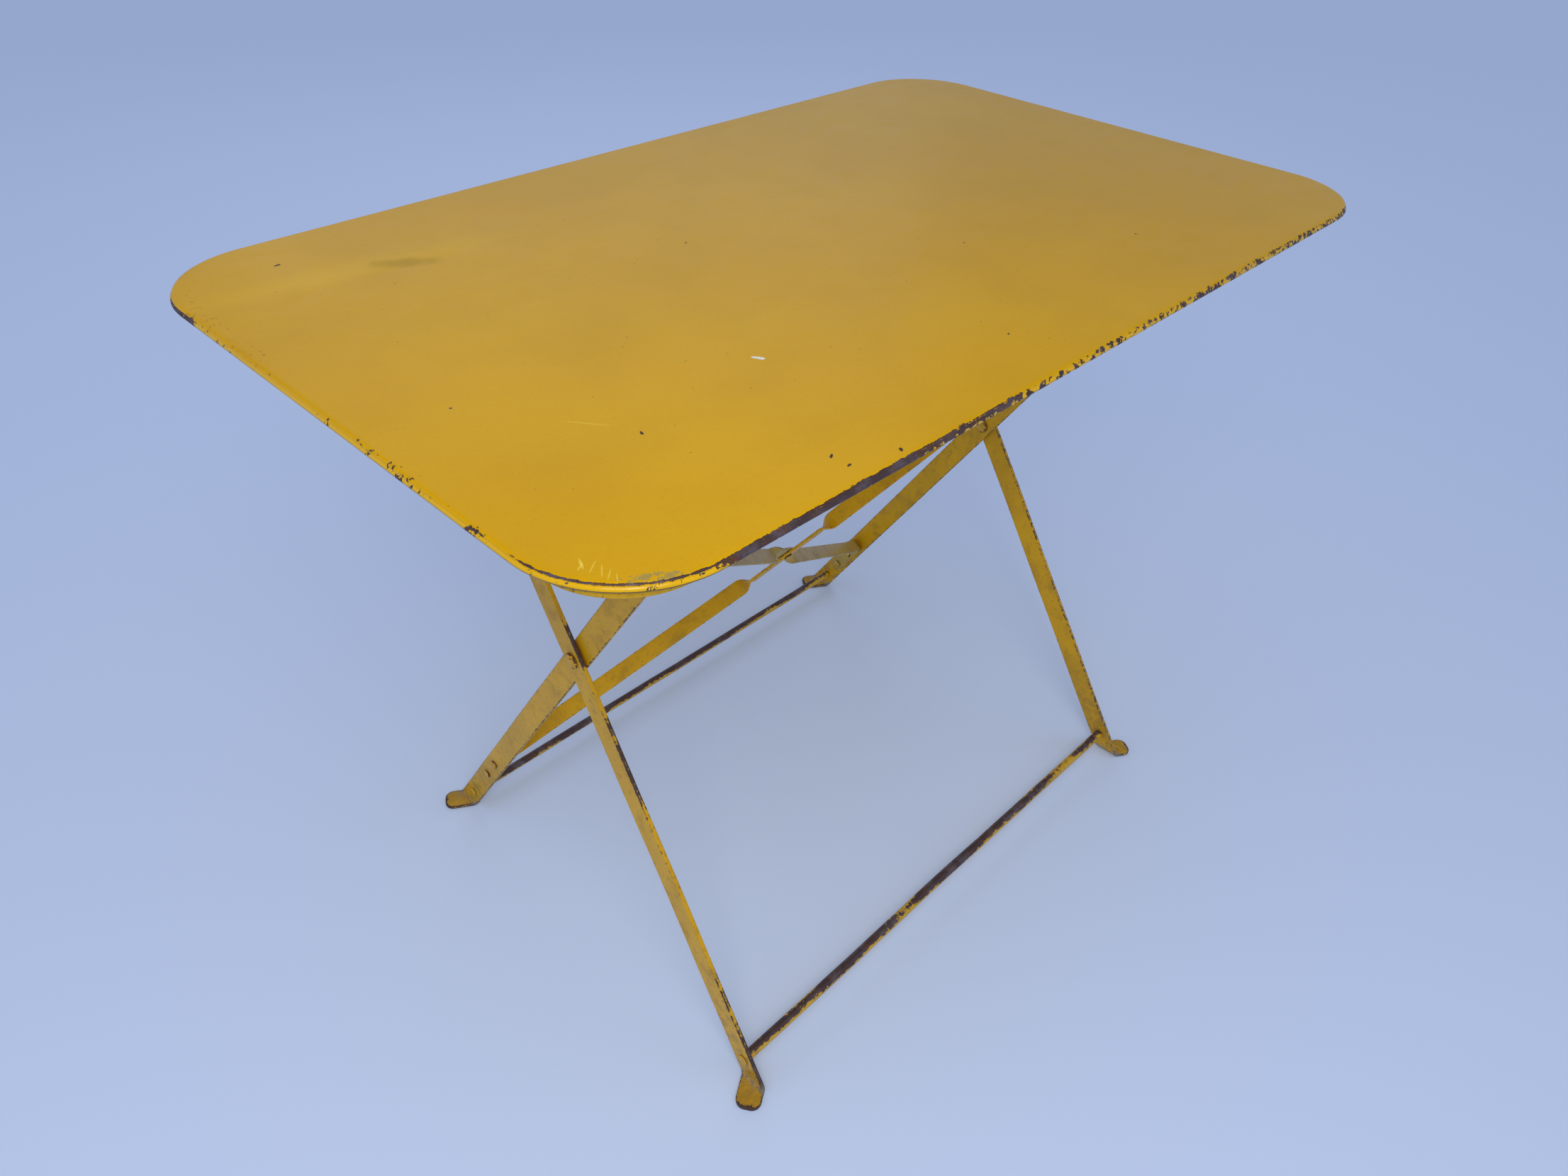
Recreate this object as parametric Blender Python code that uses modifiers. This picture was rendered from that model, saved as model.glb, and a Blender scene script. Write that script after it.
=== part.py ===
"""Folding metal garden table.

A rounded rectangular sheet-steel top on a flat-bar hoop, carried by two pairs
of flat-bar legs that cross at each short end.  The outer pair is hinged to the
top near its +Y long side.  The inner pair turns on the crossing rivets, and its
top rod sits in two open catches near the -Y long side.

Frame: +X along the table's long side, +Y across it, +Z up.  The origin is on
the floor below the middle of the top.  "Left" is the -X end, "right" the +X
end.  All lengths are in metres.
"""
import math
from collections import namedtuple

import bmesh
import bpy
from mathutils import Matrix, Vector

# ------------------------------------------------------- driving dimensions
TOP_LENGTH = 1.000
TOP_WIDTH = 0.610
TOP_CORNER_R = 0.088
TABLE_HEIGHT = 0.732
CORNER_SEGMENTS = 8     # in each rounded corner of the top, bead and hoop
GAP = 0.0003            # between neighbouring pieces
EMBED = 0.0001          # keeps a joined piece's faces off its neighbour's

SHEET_T = 0.0012        # top sheet
SHEET_INSET = 0.0006    # sheet's edge inside the bead's outermost line
EDGE_ROLL_R = 0.0030    # roll of the sheet into its short skirt
SKIRT_DEPTH = 0.0066    # crest of the top to the bottom of the bead
SKIRT_END = 0.0028      # the skirt stops this far above the bead's lowest line
BEAD_R = 0.0023         # bead rolled at the skirt's lower edge

HOOP_INSET = 0.0098     # hoop's outer edge inside the top's outline
HOOP_DROP = 0.0004      # hoop's upper face below the bead
HOOP_CORNER_R = 0.064
HOOP_BAR_W = 0.018
HOOP_BAR_T = 0.0056

BATTEN_X0, BATTEN_X1 = 0.262, 0.298
BATTEN_END_GAP = 0.0005
PLATE_T = 0.0030        # brackets and catches

BRACKET_HALF_W = 0.016  # hinge bracket either side of the pin, along Y
BRACKET_INSET = 0.006   # bracket's flange from the batten's inner edge
EAR_OFFSET = 0.0005     # ear beyond the batten's outer edge
EAR_BELOW_PIN = 0.013
EAR_CORNER_R = 0.010
HINGE_RIVET_OFFSET = 0.009      # either side of the pin, along Y

# Distances of the catch's parts from the top rod's centre, +Y towards the hinge
CATCH_Y = (-0.020, 0.016)
CATCH_FLANGE_Y = (-0.0290, -0.0090)
CATCH_RIVET_DY = -0.0200
CATCH_BELOW_ROD = 0.0155
CATCH_RIVET_X = 0.2915          # from the table's centre
SEAT_CLEAR = 0.0008             # round the top rod
SLOT_ANGLE = math.radians(-52)  # down from +Y
SLOT_CUT_W, SLOT_CUT_LENGTH = 0.009, 0.060
MOUTH_REACH, MOUTH_BELOW_ROD = 0.030, 0.020
CUT_PAST_PLATE = 0.003          # cutters beyond the catch's faces

LEG_W = 0.0265          # flat bar of the legs
LEG_T = 0.0045
LEG_TOP_Y = 0.2152      # where a leg's centre line meets the top
LEG_FOOT_Y = 0.2632     # where it meets the floor
LEG_SPLAY = 0.0310      # outward lean of the feet, per metre of height
OUTER_X_CROSS = 0.3216  # outer leg's middle plane at the crossing
LEG_SIDE_GAP = 0.0024   # between the outer and inner leg
LEG_END_FLAT = 0.0003   # half the flat left at a leg's rounded top end
LEG_ARRIS = 0.0005
LEG_BELOW_FLOOR = 0.03  # extra bar, trimmed by the floor cut
FLOOR_CUT_Z = 0.0006
PAD_LENGTH = 0.031
PAD_ROOT = 0.016        # pad behind the leg's centre line, before trimming
PAD_BITE = 0.0002       # trimmed end short of the leg's far face
PAD_TIP_R = 0.010

OUTER_ROD_R = 0.0055
INNER_ROD_R = 0.0048
TOP_ROD_R = 0.0050
OUTER_TENON_R = 0.0035
INNER_TENON_R = 0.0032
TENON_HEAD_OVERHANG = 0.0026
TENON_HEAD_HEIGHT = 0.0026
ROD_HEIGHT = 0.026      # foot rods above the floor
PIVOT_DROP = 0.0280     # hinge pins below the top
TOP_ROD_DROP = 0.0180   # inner frame's top rod below the top

PIN_R = 0.0040          # crossing rivets and hinge pins
PIN_CLEAR = 0.0003
COLLAR_R = 0.0062       # hinge pin's collar between ear and leg
LEG_FACE_GAP = 0.0006   # between a leg's face and a head, collar or shoulder
EAR_FACE_GAP = 0.0004   # between an ear's face and a head or collar
WASHER_R = 0.0085
WASHER_T = 0.0012
SMALL_SHANK_R = 0.0022  # rivets of the brackets, catches and brace ends
CENTRE_SHANK_R = 0.0027

# Domed heads: radius, height
CROSSING_HEAD = (0.0082, 0.0042)
HINGE_HEAD = (0.0068, 0.0030)
PLATE_HEAD = (0.0042, 0.0020)
CENTRE_HEAD = (0.0052, 0.0026)
BRACE_HEAD = (0.0052, 0.0028)

BRACE_W = 0.0190
BRACE_T = 0.0030
BRACE_ARRIS = 0.0005
BRACE_TAB = 0.078
BRACE_FOLD_R = 0.008            # reach of a fold's bend, either way
BRACE_LAY_GAP = 0.0002          # half the gap between the crossed braces
BRACE_CROSS = (0.015, -0.0895)  # along X, along the inner leg from the crossing
BRACE_RIVETS = (0.031, 0.066)   # along a tab, from its fold

# start_side: end of the table (-1 or +1 along X) where the brace is low.
# low_fold, high_fold: folds along the inner leg, from the leg crossing.
# layer: side of the frame plane where the brace lies at the brace crossing.
# flat_until, upright_from: ends of the twist, from the brace crossing.
Brace = namedtuple("Brace", "name start_side low_fold high_fold layer flat_until upright_from")
BRACES = (
    Brace("brace_1", -1, -0.306, 0.2175, +1, 0.048, 0.070),
    Brace("brace_2", +1, -0.343, 0.202, -1, 0.028, 0.055),
)

SIDES = ((-1, "left"), (1, "right"))

# ----------------------------------------------------- derived construction
HALF_ANGLE = math.atan2(LEG_TOP_Y + LEG_FOOT_Y, TABLE_HEIGHT)
SIN_A, COS_A = math.sin(HALF_ANGLE), math.cos(HALF_ANGLE)
CROSS_Z = TABLE_HEIGHT * LEG_FOOT_Y / (LEG_TOP_Y + LEG_FOOT_Y)
CROSS = Vector((0.0, 0.0, CROSS_Z))
LEAN = math.asin(LEG_SPLAY * COS_A)
INNER_X_CROSS = OUTER_X_CROSS - LEG_T - LEG_SIDE_GAP

BEAD_LOW_Z = TABLE_HEIGHT - SKIRT_DEPTH
HOOP_TOP_Z = BEAD_LOW_Z - HOOP_DROP
HOOP_LOW_Z = HOOP_TOP_Z - HOOP_BAR_T
HOOP_LENGTH = TOP_LENGTH - 2 * HOOP_INSET
HOOP_WIDTH = TOP_WIDTH - 2 * HOOP_INSET
FLANGE_TOP = HOOP_LOW_Z - GAP
FLANGE_LOW = FLANGE_TOP - PLATE_T

BATTEN_MID_X = (BATTEN_X0 + BATTEN_X1) / 2
EAR_X_IN = BATTEN_X1 + EAR_OFFSET
EAR_X_OUT = EAR_X_IN + PLATE_T
CATCH_X_IN = BATTEN_MID_X - PLATE_T / 2
CATCH_X_OUT = BATTEN_MID_X + PLATE_T / 2


def leg_y(height, top_side):
    """Y of a leg's centre line at a height; top_side is +1 or -1."""
    return top_side * (height - CROSS_Z) * math.tan(HALF_ANGLE)


def leg_x(height, cross_x):
    """Distance of a leg's middle plane from the table's centre."""
    return cross_x - (height - CROSS_Z) * LEG_SPLAY


PIVOT_Z = TABLE_HEIGHT - PIVOT_DROP
PIVOT_Y = leg_y(PIVOT_Z, +1)
TOP_ROD_Z = TABLE_HEIGHT - TOP_ROD_DROP
TOP_ROD_Y = leg_y(TOP_ROD_Z, -1)

# ------------------------------------------------------------- fresh scene
for stale in list(bpy.data.objects):
    bpy.data.objects.remove(stale, do_unlink=True)

PARTS = bpy.data.collections.new("folding_table")
CUTTERS = bpy.data.collections.new("folding_table_cutters")
bpy.context.scene.collection.children.link(PARTS)
bpy.context.scene.collection.children.link(CUTTERS)


def material(name, colour, roughness, metallic):
    paint = bpy.data.materials.new(name)
    paint.use_nodes = True
    shader = paint.node_tree.nodes["Principled BSDF"]
    shader.inputs["Base Color"].default_value = (*colour, 1.0)
    shader.inputs["Roughness"].default_value = roughness
    shader.inputs["Metallic"].default_value = metallic
    paint.diffuse_color = (*colour, 1.0)
    return paint


PAINT_TOP = material("top_paint", colour=(0.60, 0.36, 0.01), roughness=0.42, metallic=0.0)
PAINT_LEG = material("leg_paint", colour=(0.42, 0.24, 0.02), roughness=0.50, metallic=0.0)
PAINT_UNDER = material("underside_paint", colour=(0.36, 0.21, 0.02), roughness=0.60,
                       metallic=0.0)
BARE_STEEL = material("worn_steel", colour=(0.08, 0.05, 0.045), roughness=0.55, metallic=0.8)
RUSTY = material("rusted_rivet", colour=(0.22, 0.08, 0.03), roughness=0.75, metallic=0.3)


def empty(name, location):
    axis = bpy.data.objects.new(name, None)
    axis.empty_display_size = 0.05
    PARTS.objects.link(axis)
    axis.location = location
    return axis


OUTER = empty("outer_frame", (0.0, 0.0, 0.0))
INNER = empty("crossing_axis", CROSS)
TOP = empty("top_hinge_axis", (0.0, PIVOT_Y, PIVOT_Z))

LegPair = namedtuple("LegPair", "name top_side cross_x top_z axis")
OUTER_PAIR = LegPair("outer", +1, OUTER_X_CROSS, PIVOT_Z, OUTER)
INNER_PAIR = LegPair("inner", -1, INNER_X_CROSS, TOP_ROD_Z, INNER)


# ---------------------------------------------------------- object helpers
def attach(obj, axis):
    """Parent to an axis without moving the object."""
    obj.parent = axis
    obj.matrix_parent_inverse = Matrix.Translation(axis.location).inverted()


def to_mesh(shape, name):
    bmesh.ops.recalc_face_normals(shape, faces=shape.faces)
    mesh = bpy.data.meshes.new(name)
    shape.to_mesh(mesh)
    shape.free()
    return mesh


def make_part(shape, name, paint, axis):
    """Turn a bmesh into a visible part hung on an axis."""
    mesh = to_mesh(shape, name)
    mesh.materials.append(paint)
    obj = bpy.data.objects.new(name, mesh)
    PARTS.objects.link(obj)
    attach(obj, axis)
    return obj


def make_helper(name, shape_data):
    """A hidden object that only shapes other objects."""
    obj = bpy.data.objects.new(name, shape_data)
    CUTTERS.objects.link(obj)
    obj.hide_render = True
    obj.display_type = "WIRE"
    return obj


def make_cutter(shape, name):
    return make_helper(name, to_mesh(shape, name))


def boolean(obj, cutter, operation="DIFFERENCE"):
    modifier = obj.modifiers.new(operation.lower(), "BOOLEAN")
    modifier.operation = operation
    modifier.object = cutter
    modifier.solver = "EXACT"


def cut(obj, shape, name):
    boolean(obj, make_cutter(shape, name))


def join(obj, shape, name):
    boolean(obj, make_cutter(shape, name), "UNION")


# ----------------------------------------------------------- basic shapes
def box(size, matrix):
    shape = bmesh.new()
    bmesh.ops.create_cube(shape, size=1.0)
    bmesh.ops.scale(shape, vec=size, verts=shape.verts)
    bmesh.ops.transform(shape, matrix=matrix, verts=shape.verts)
    return shape


def span_box(corner, opposite):
    """A box between two opposite corners, given in any order."""
    low = Vector(map(min, corner, opposite))
    high = Vector(map(max, corner, opposite))
    return box(high - low, Matrix.Translation((low + high) / 2))


def cylinder(radius, depth, matrix, segments):
    """A cylinder along the frame's Z, centred on its origin."""
    shape = bmesh.new()
    bmesh.ops.create_cone(shape, cap_ends=True, segments=segments, radius1=radius,
                          radius2=radius, depth=depth)
    bmesh.ops.transform(shape, matrix=matrix, verts=shape.verts)
    return shape


def rod(radius, x_start, x_end, y, z, segments=20):
    """A cylinder along X."""
    matrix = (Matrix.Translation(((x_start + x_end) / 2, y, z))
              @ Matrix.Rotation(math.pi / 2, 4, "Y"))
    return cylinder(radius, abs(x_end - x_start), matrix, segments)


def edges_along(shape, axis, wanted=lambda place: True):
    """Edges that run along an axis (0, 1, 2) with both ends in a wanted place."""
    return [edge for edge in shape.edges
            if abs(edge.verts[0].co[axis] - edge.verts[1].co[axis]) > 1e-4
            and all(wanted(vert.co) for vert in edge.verts)]


def round_edges(shape, edges, radius, segments):
    bmesh.ops.bevel(shape, geom=edges, offset=radius, segments=segments,
                    profile=0.5, affect="EDGES", clamp_overlap=False)


def rounded_slab(length, width, radius, z_low, z_high):
    shape = span_box((-length / 2, -width / 2, z_low), (length / 2, width / 2, z_high))
    round_edges(shape, edges_along(shape, 2), radius, CORNER_SEGMENTS)
    return shape


def curve_to_shape(curve, name):
    """The closed bmesh of a curve."""
    carrier = bpy.data.objects.new(name + "_curve", curve)
    bpy.context.scene.collection.objects.link(carrier)
    graph = bpy.context.evaluated_depsgraph_get()
    mesh = bpy.data.meshes.new_from_object(carrier.evaluated_get(graph))
    bpy.data.objects.remove(carrier, do_unlink=True)
    shape = bmesh.new()
    shape.from_mesh(mesh)
    bpy.data.meshes.remove(mesh)
    bmesh.ops.remove_doubles(shape, verts=shape.verts, dist=0.00002)
    return shape


# ----------------------------------------------------------- turned pieces
def turned(name, profile, matrix, paint, axis, steps, closed=False):
    """A turned piece: (radius, height) points from top to bottom, about Z."""
    mesh = bpy.data.meshes.new(name)
    verts = [(radius, 0.0, height) for radius, height in profile]
    edges = [(i, i + 1) for i in range(len(verts) - 1)]
    if closed:
        edges.append((len(verts) - 1, 0))
    mesh.from_pydata(verts, edges, [])
    mesh.materials.append(paint)
    obj = bpy.data.objects.new(name, mesh)
    screw = obj.modifiers.new("turn", "SCREW")
    screw.axis = "Z"
    screw.angle = 2 * math.pi
    screw.steps = steps
    screw.render_steps = steps
    screw.use_merge_vertices = True
    screw.merge_threshold = 0.00002
    screw.use_smooth_shade = True
    PARTS.objects.link(obj)
    attach(obj, axis)
    obj.matrix_world = matrix


def along_x(y, z, side):
    """Frame whose +Z points outward along X on the given side."""
    return Matrix.Translation((0, y, z)) @ Matrix.Rotation(side * math.pi / 2, 4, "Y")


def dome(head, base, up=True, steps=3):
    """Half a domed head's profile, listed from top to bottom."""
    head_radius, head_height = head
    points = []
    for i in range(steps + 1):
        angle = math.pi / 2 * i / steps
        points.append((head_radius * math.sin(angle), base + head_height * math.cos(angle)))
    if up:
        return points
    return [(radius, 2 * base - height) for radius, height in reversed(points)]


def rivet_profile(shank_r, outer_base, inner_base, head):
    """Two domed heads on one shank, heights along the rivet's axis."""
    return (dome(head, outer_base) + [(shank_r, outer_base), (shank_r, inner_base)]
            + dome(head, inner_base, up=False))


# ------------------------------------------------------------------ the top
def rounded_path(length, width, radius):
    """Points round a rounded rectangle, anticlockwise."""
    points = []
    for sign_x, sign_y, start in ((1, 1, 0), (-1, 1, 90), (-1, -1, 180), (1, -1, 270)):
        for i in range(CORNER_SEGMENTS + 1):
            angle = math.radians(start + 90 * i / CORNER_SEGMENTS)
            points.append((sign_x * (length / 2 - radius) + radius * math.cos(angle),
                           sign_y * (width / 2 - radius) + radius * math.sin(angle)))
    return points


def bead_shape():
    curve = bpy.data.curves.new("rolled_bead", "CURVE")
    curve.dimensions = "3D"
    curve.twist_mode = "Z_UP"
    curve.bevel_depth = BEAD_R
    curve.bevel_resolution = 2
    path = rounded_path(TOP_LENGTH - 2 * BEAD_R, TOP_WIDTH - 2 * BEAD_R, TOP_CORNER_R - BEAD_R)
    spline = curve.splines.new("POLY")
    spline.points.add(len(path) - 1)
    for point, (x, y) in zip(spline.points, path):
        point.co = (x, y, BEAD_LOW_Z + BEAD_R, 1.0)
    spline.use_cyclic_u = True
    return curve_to_shape(curve, "rolled_bead")


def build_top_sheet():
    """The sheet with its rolled edge and skirt, open below, on a round bead."""
    skirt_low_z = BEAD_LOW_Z + SKIRT_END

    def all_at(element, z):
        return all(abs(vert.co.z - z) < 1e-6 for vert in element.verts)

    shape = rounded_slab(TOP_LENGTH - 2 * SHEET_INSET, TOP_WIDTH - 2 * SHEET_INSET,
                         TOP_CORNER_R, skirt_low_z, TABLE_HEIGHT)
    crest = [edge for edge in shape.edges if all_at(edge, TABLE_HEIGHT)]
    round_edges(shape, crest, EDGE_ROLL_R, 4)
    underside = [face for face in shape.faces if all_at(face, skirt_low_z)]
    bmesh.ops.delete(shape, geom=underside, context="FACES_ONLY")

    sheet = make_part(shape, "top_sheet", PAINT_TOP, TOP)
    sheet.data.shade_smooth()
    sheet.data.set_sharp_from_angle(angle=math.radians(35))
    gauge = sheet.modifiers.new("gauge", "SOLIDIFY")
    gauge.thickness = SHEET_T
    gauge.offset = -1.0
    gauge.use_even_offset = True
    join(sheet, bead_shape(), "rolled_bead")


def build_rim_hoop():
    hoop = make_part(rounded_slab(HOOP_LENGTH, HOOP_WIDTH, HOOP_CORNER_R, HOOP_LOW_Z, HOOP_TOP_Z),
                     "rim_hoop", PAINT_UNDER, TOP)
    opening = rounded_slab(HOOP_LENGTH - 2 * HOOP_BAR_W, HOOP_WIDTH - 2 * HOOP_BAR_W,
                           HOOP_CORNER_R - HOOP_BAR_W, HOOP_LOW_Z - 0.01, HOOP_TOP_Z + 0.01)
    cut(hoop, opening, "hoop_opening")


def build_batten(side, tag):
    """A cross bar between the hoop's long sides."""
    end_y = HOOP_WIDTH / 2 - HOOP_BAR_W - BATTEN_END_GAP
    return make_part(span_box((side * BATTEN_X0, -end_y, HOOP_LOW_Z),
                              (side * BATTEN_X1, end_y, HOOP_TOP_Z)),
                     "batten_" + tag, PAINT_UNDER, TOP)


def build_hinge_bracket(side, tag):
    """A flange under the batten and a hanging ear."""
    y_low, y_high = PIVOT_Y - BRACKET_HALF_W, PIVOT_Y + BRACKET_HALF_W
    bracket = make_part(span_box((side * (BATTEN_X0 + BRACKET_INSET), y_low, FLANGE_LOW),
                                 (side * EAR_X_OUT, y_high, FLANGE_TOP)),
                        "hinge_bracket_" + tag, PAINT_UNDER, TOP)
    ear = span_box((side * EAR_X_IN, y_low, PIVOT_Z - EAR_BELOW_PIN),
                   (side * EAR_X_OUT, y_high, FLANGE_TOP - EMBED))
    low_edges = edges_along(ear, 0, lambda place: place.z < PIVOT_Z)
    round_edges(ear, low_edges, EAR_CORNER_R, 4)
    join(bracket, ear, "ear_" + tag)
    cut(bracket, rod(PIN_R + PIN_CLEAR, side * (EAR_X_IN - 0.001), side * (EAR_X_OUT + 0.001),
                     PIVOT_Y, PIVOT_Z), "ear_hole_" + tag)
    return bracket


def build_rod_catch(side, tag):
    """A flange under the batten and a slotted plate that holds the top rod."""
    catch = make_part(span_box((side * CATCH_X_IN, TOP_ROD_Y + CATCH_Y[0],
                                TOP_ROD_Z - CATCH_BELOW_ROD),
                               (side * CATCH_X_OUT, TOP_ROD_Y + CATCH_Y[1], FLANGE_TOP)),
                      "rod_catch_" + tag, PAINT_UNDER, TOP)
    flange = span_box((side * (CATCH_X_IN + EMBED), TOP_ROD_Y + CATCH_FLANGE_Y[0], FLANGE_LOW),
                      (side * BATTEN_X1, TOP_ROD_Y + CATCH_FLANGE_Y[1], FLANGE_TOP - EMBED))
    join(catch, flange, "catch_flange_" + tag)

    slot_r = TOP_ROD_R + SEAT_CLEAR
    cut_in = side * (CATCH_X_IN - CUT_PAST_PLATE)
    cut_out = side * (CATCH_X_OUT + CUT_PAST_PLATE)
    cut(catch, rod(slot_r, cut_in, cut_out, TOP_ROD_Y, TOP_ROD_Z, 24), "catch_seat_" + tag)
    # the slot leaves the seat downward and toward the hinge side
    slot_frame = (Matrix.Translation((side * BATTEN_MID_X, TOP_ROD_Y, TOP_ROD_Z))
                  @ Matrix.Rotation(SLOT_ANGLE, 4, "X")
                  @ Matrix.Translation((0, SLOT_CUT_LENGTH / 2, 0)))
    cut(catch, box((SLOT_CUT_W, SLOT_CUT_LENGTH, 2 * slot_r), slot_frame), "catch_slot_" + tag)
    mouth = span_box((cut_in, TOP_ROD_Y, TOP_ROD_Z - MOUTH_BELOW_ROD),
                     (cut_out, TOP_ROD_Y + MOUTH_REACH, TOP_ROD_Z + slot_r))
    cut(catch, mouth, "catch_mouth_" + tag)
    return catch


def build_plate_rivet(name, x, y, batten, plate):
    """An upright rivet that holds a plate's flange to the batten."""
    profile = rivet_profile(SMALL_SHANK_R, HOOP_TOP_Z + GAP, FLANGE_LOW - GAP, PLATE_HEAD)
    turned(name, profile, Matrix.Translation((x, y, 0)), RUSTY, TOP, steps=12)
    bore = make_cutter(cylinder(SMALL_SHANK_R + GAP, 0.04,
                                Matrix.Translation((x, y, FLANGE_TOP)), 12), "bore_" + name)
    boolean(batten, bore)
    boolean(plate, bore)


def build_underside(side, tag):
    batten = build_batten(side, tag)
    bracket = build_hinge_bracket(side, tag)
    catch = build_rod_catch(side, tag)
    for name, x, y, plate in (
            ("hinge_rivet_a_", BATTEN_MID_X, PIVOT_Y - HINGE_RIVET_OFFSET, bracket),
            ("hinge_rivet_b_", BATTEN_MID_X, PIVOT_Y + HINGE_RIVET_OFFSET, bracket),
            ("catch_rivet_", CATCH_RIVET_X, TOP_ROD_Y + CATCH_RIVET_DY, catch)):
        build_plate_rivet(name + tag, side * x, y, batten, plate)


# ---------------------------------------------------------------- the legs
def leg_frame(side, pair):
    """Matrix of a leg: X its thickness, Y its width, Z from foot to top."""
    along = Vector((-side * math.sin(LEAN), pair.top_side * SIN_A * math.cos(LEAN),
                    COS_A * math.cos(LEAN)))
    across = Vector((0.0, COS_A, -pair.top_side * SIN_A))
    through = across.cross(along)
    turn = Matrix((through, across, along)).transposed().to_4x4()
    return Matrix.Translation((side * pair.cross_x, 0.0, CROSS_Z)) @ turn


def leg_bar(side, pair):
    """The flat bar with its rounded top end, running on below the floor."""
    high = (pair.top_z - CROSS_Z) / COS_A + LEG_W / 2
    low = -CROSS_Z / COS_A - LEG_BELOW_FLOOR
    bar = box((LEG_T, LEG_W, high - low), Matrix.Translation((0, 0, (high + low) / 2)))
    top_edges = edges_along(bar, 0, lambda place: place.z > high - 1e-4)
    round_edges(bar, top_edges, LEG_W / 2 - LEG_END_FLAT, 6)
    bmesh.ops.transform(bar, matrix=leg_frame(side, pair), verts=bar.verts)
    return bar


def build_leg(name, side, pair, pad_side):
    """A leg with its pad on the floor, pointing to pad_side along X."""
    leg = make_part(leg_bar(side, pair), name, PAINT_LEG, pair.axis)
    arris = leg.modifiers.new("arris", "BEVEL")
    arris.width = LEG_ARRIS
    arris.segments = 1
    arris.limit_method = "ANGLE"
    arris.angle_limit = math.radians(40)
    cut(leg, span_box((-0.6, -0.5, -0.2), (0.6, 0.5, FLOOR_CUT_Z)), name + "_floor_cut")

    # the pad is turned from the X axis by the legs' half angle
    foot_x = side * leg_x(0.0, pair.cross_x)
    foot_y = leg_y(0.0, pair.top_side)
    heading = math.atan2(-pair.top_side * SIN_A, pad_side * COS_A)
    pad_shape = box((PAD_LENGTH + PAD_ROOT, LEG_W, LEG_T),
                    Matrix.Translation(((PAD_LENGTH - PAD_ROOT) / 2, 0, LEG_T / 2)))
    tip_edges = edges_along(pad_shape, 2, lambda place: place.x > PAD_LENGTH - 1e-3)
    round_edges(pad_shape, tip_edges, PAD_TIP_R, 4)
    bmesh.ops.transform(pad_shape, matrix=Matrix.Translation((foot_x, foot_y, 0))
                        @ Matrix.Rotation(heading, 4, "Z"), verts=pad_shape.verts)
    pad = make_cutter(pad_shape, name + "_pad")
    # trim the pad just inside the leg's far face
    behind = foot_x - pad_side * (LEG_T / 2 - PAD_BITE)
    cut(pad, span_box((behind, -0.4, -0.01), (behind - pad_side * 0.05, 0.4, 0.02)),
        name + "_pad_trim")
    boolean(leg, pad, "UNION")
    return leg


# Holes of each pair of legs, in drilling order: name, radius, height
LEG_HOLES = {
    "outer": (("outer_cross_hole_", PIN_R + PIN_CLEAR, CROSS_Z),
              ("hinge_hole_", PIN_R + PIN_CLEAR, PIVOT_Z),
              ("outer_tenon_hole_", OUTER_TENON_R + PIN_CLEAR, ROD_HEIGHT)),
    "inner": (("inner_cross_hole_", PIN_R + PIN_CLEAR, CROSS_Z),
              ("inner_tenon_hole_", INNER_TENON_R + PIN_CLEAR, ROD_HEIGHT),
              ("top_tenon_hole_", INNER_TENON_R + PIN_CLEAR, TOP_ROD_Z)),
}


def build_drilled_leg(side, tag, pair, pad_side):
    leg = build_leg(pair.name + "_leg_" + tag, side, pair, pad_side)
    for name, radius, z in LEG_HOLES[pair.name]:
        x = side * leg_x(z, pair.cross_x)
        cut(leg, rod(radius, x - 0.012, x + 0.012, leg_y(z, pair.top_side), z), name + tag)
    return leg


def build_crossing(side, tag):
    """The crossing rivet, and the washer between the two legs."""
    frame = along_x(0, CROSS_Z, side)
    outer_seat = OUTER_X_CROSS + LEG_T / 2 + LEG_FACE_GAP
    inner_seat = INNER_X_CROSS - LEG_T / 2 - LEG_FACE_GAP
    turned("crossing_rivet_" + tag, rivet_profile(PIN_R, outer_seat, inner_seat, CROSSING_HEAD),
           frame, RUSTY, OUTER, steps=24)
    middle = (OUTER_X_CROSS + INNER_X_CROSS) / 2
    washer_out, washer_in = middle + WASHER_T / 2, middle - WASHER_T / 2
    turned("crossing_washer_" + tag,
           [(PIN_R + PIN_CLEAR, washer_out), (WASHER_R, washer_out),
            (WASHER_R, washer_in), (PIN_R + PIN_CLEAR, washer_in)],
           frame, BARE_STEEL, OUTER, steps=24, closed=True)


def build_hinge_pin(side, tag):
    """From the outside in: head, leg, collar, ear, head."""
    leg_middle = leg_x(PIVOT_Z, OUTER_X_CROSS)
    outer_seat = leg_middle + LEG_T / 2 + LEG_FACE_GAP
    collar_out = leg_middle - LEG_T / 2 - LEG_FACE_GAP
    collar_in = EAR_X_OUT + EAR_FACE_GAP
    inner_seat = EAR_X_IN - EAR_FACE_GAP
    profile = (dome(HINGE_HEAD, outer_seat)
               + [(PIN_R, outer_seat), (PIN_R, collar_out),
                  (COLLAR_R, collar_out), (COLLAR_R, collar_in),
                  (PIN_R, collar_in), (PIN_R, inner_seat)]
               + dome(HINGE_HEAD, inner_seat, up=False))
    turned("hinge_pin_" + tag, profile, along_x(PIVOT_Y, PIVOT_Z, side), RUSTY, OUTER, steps=20)


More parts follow.
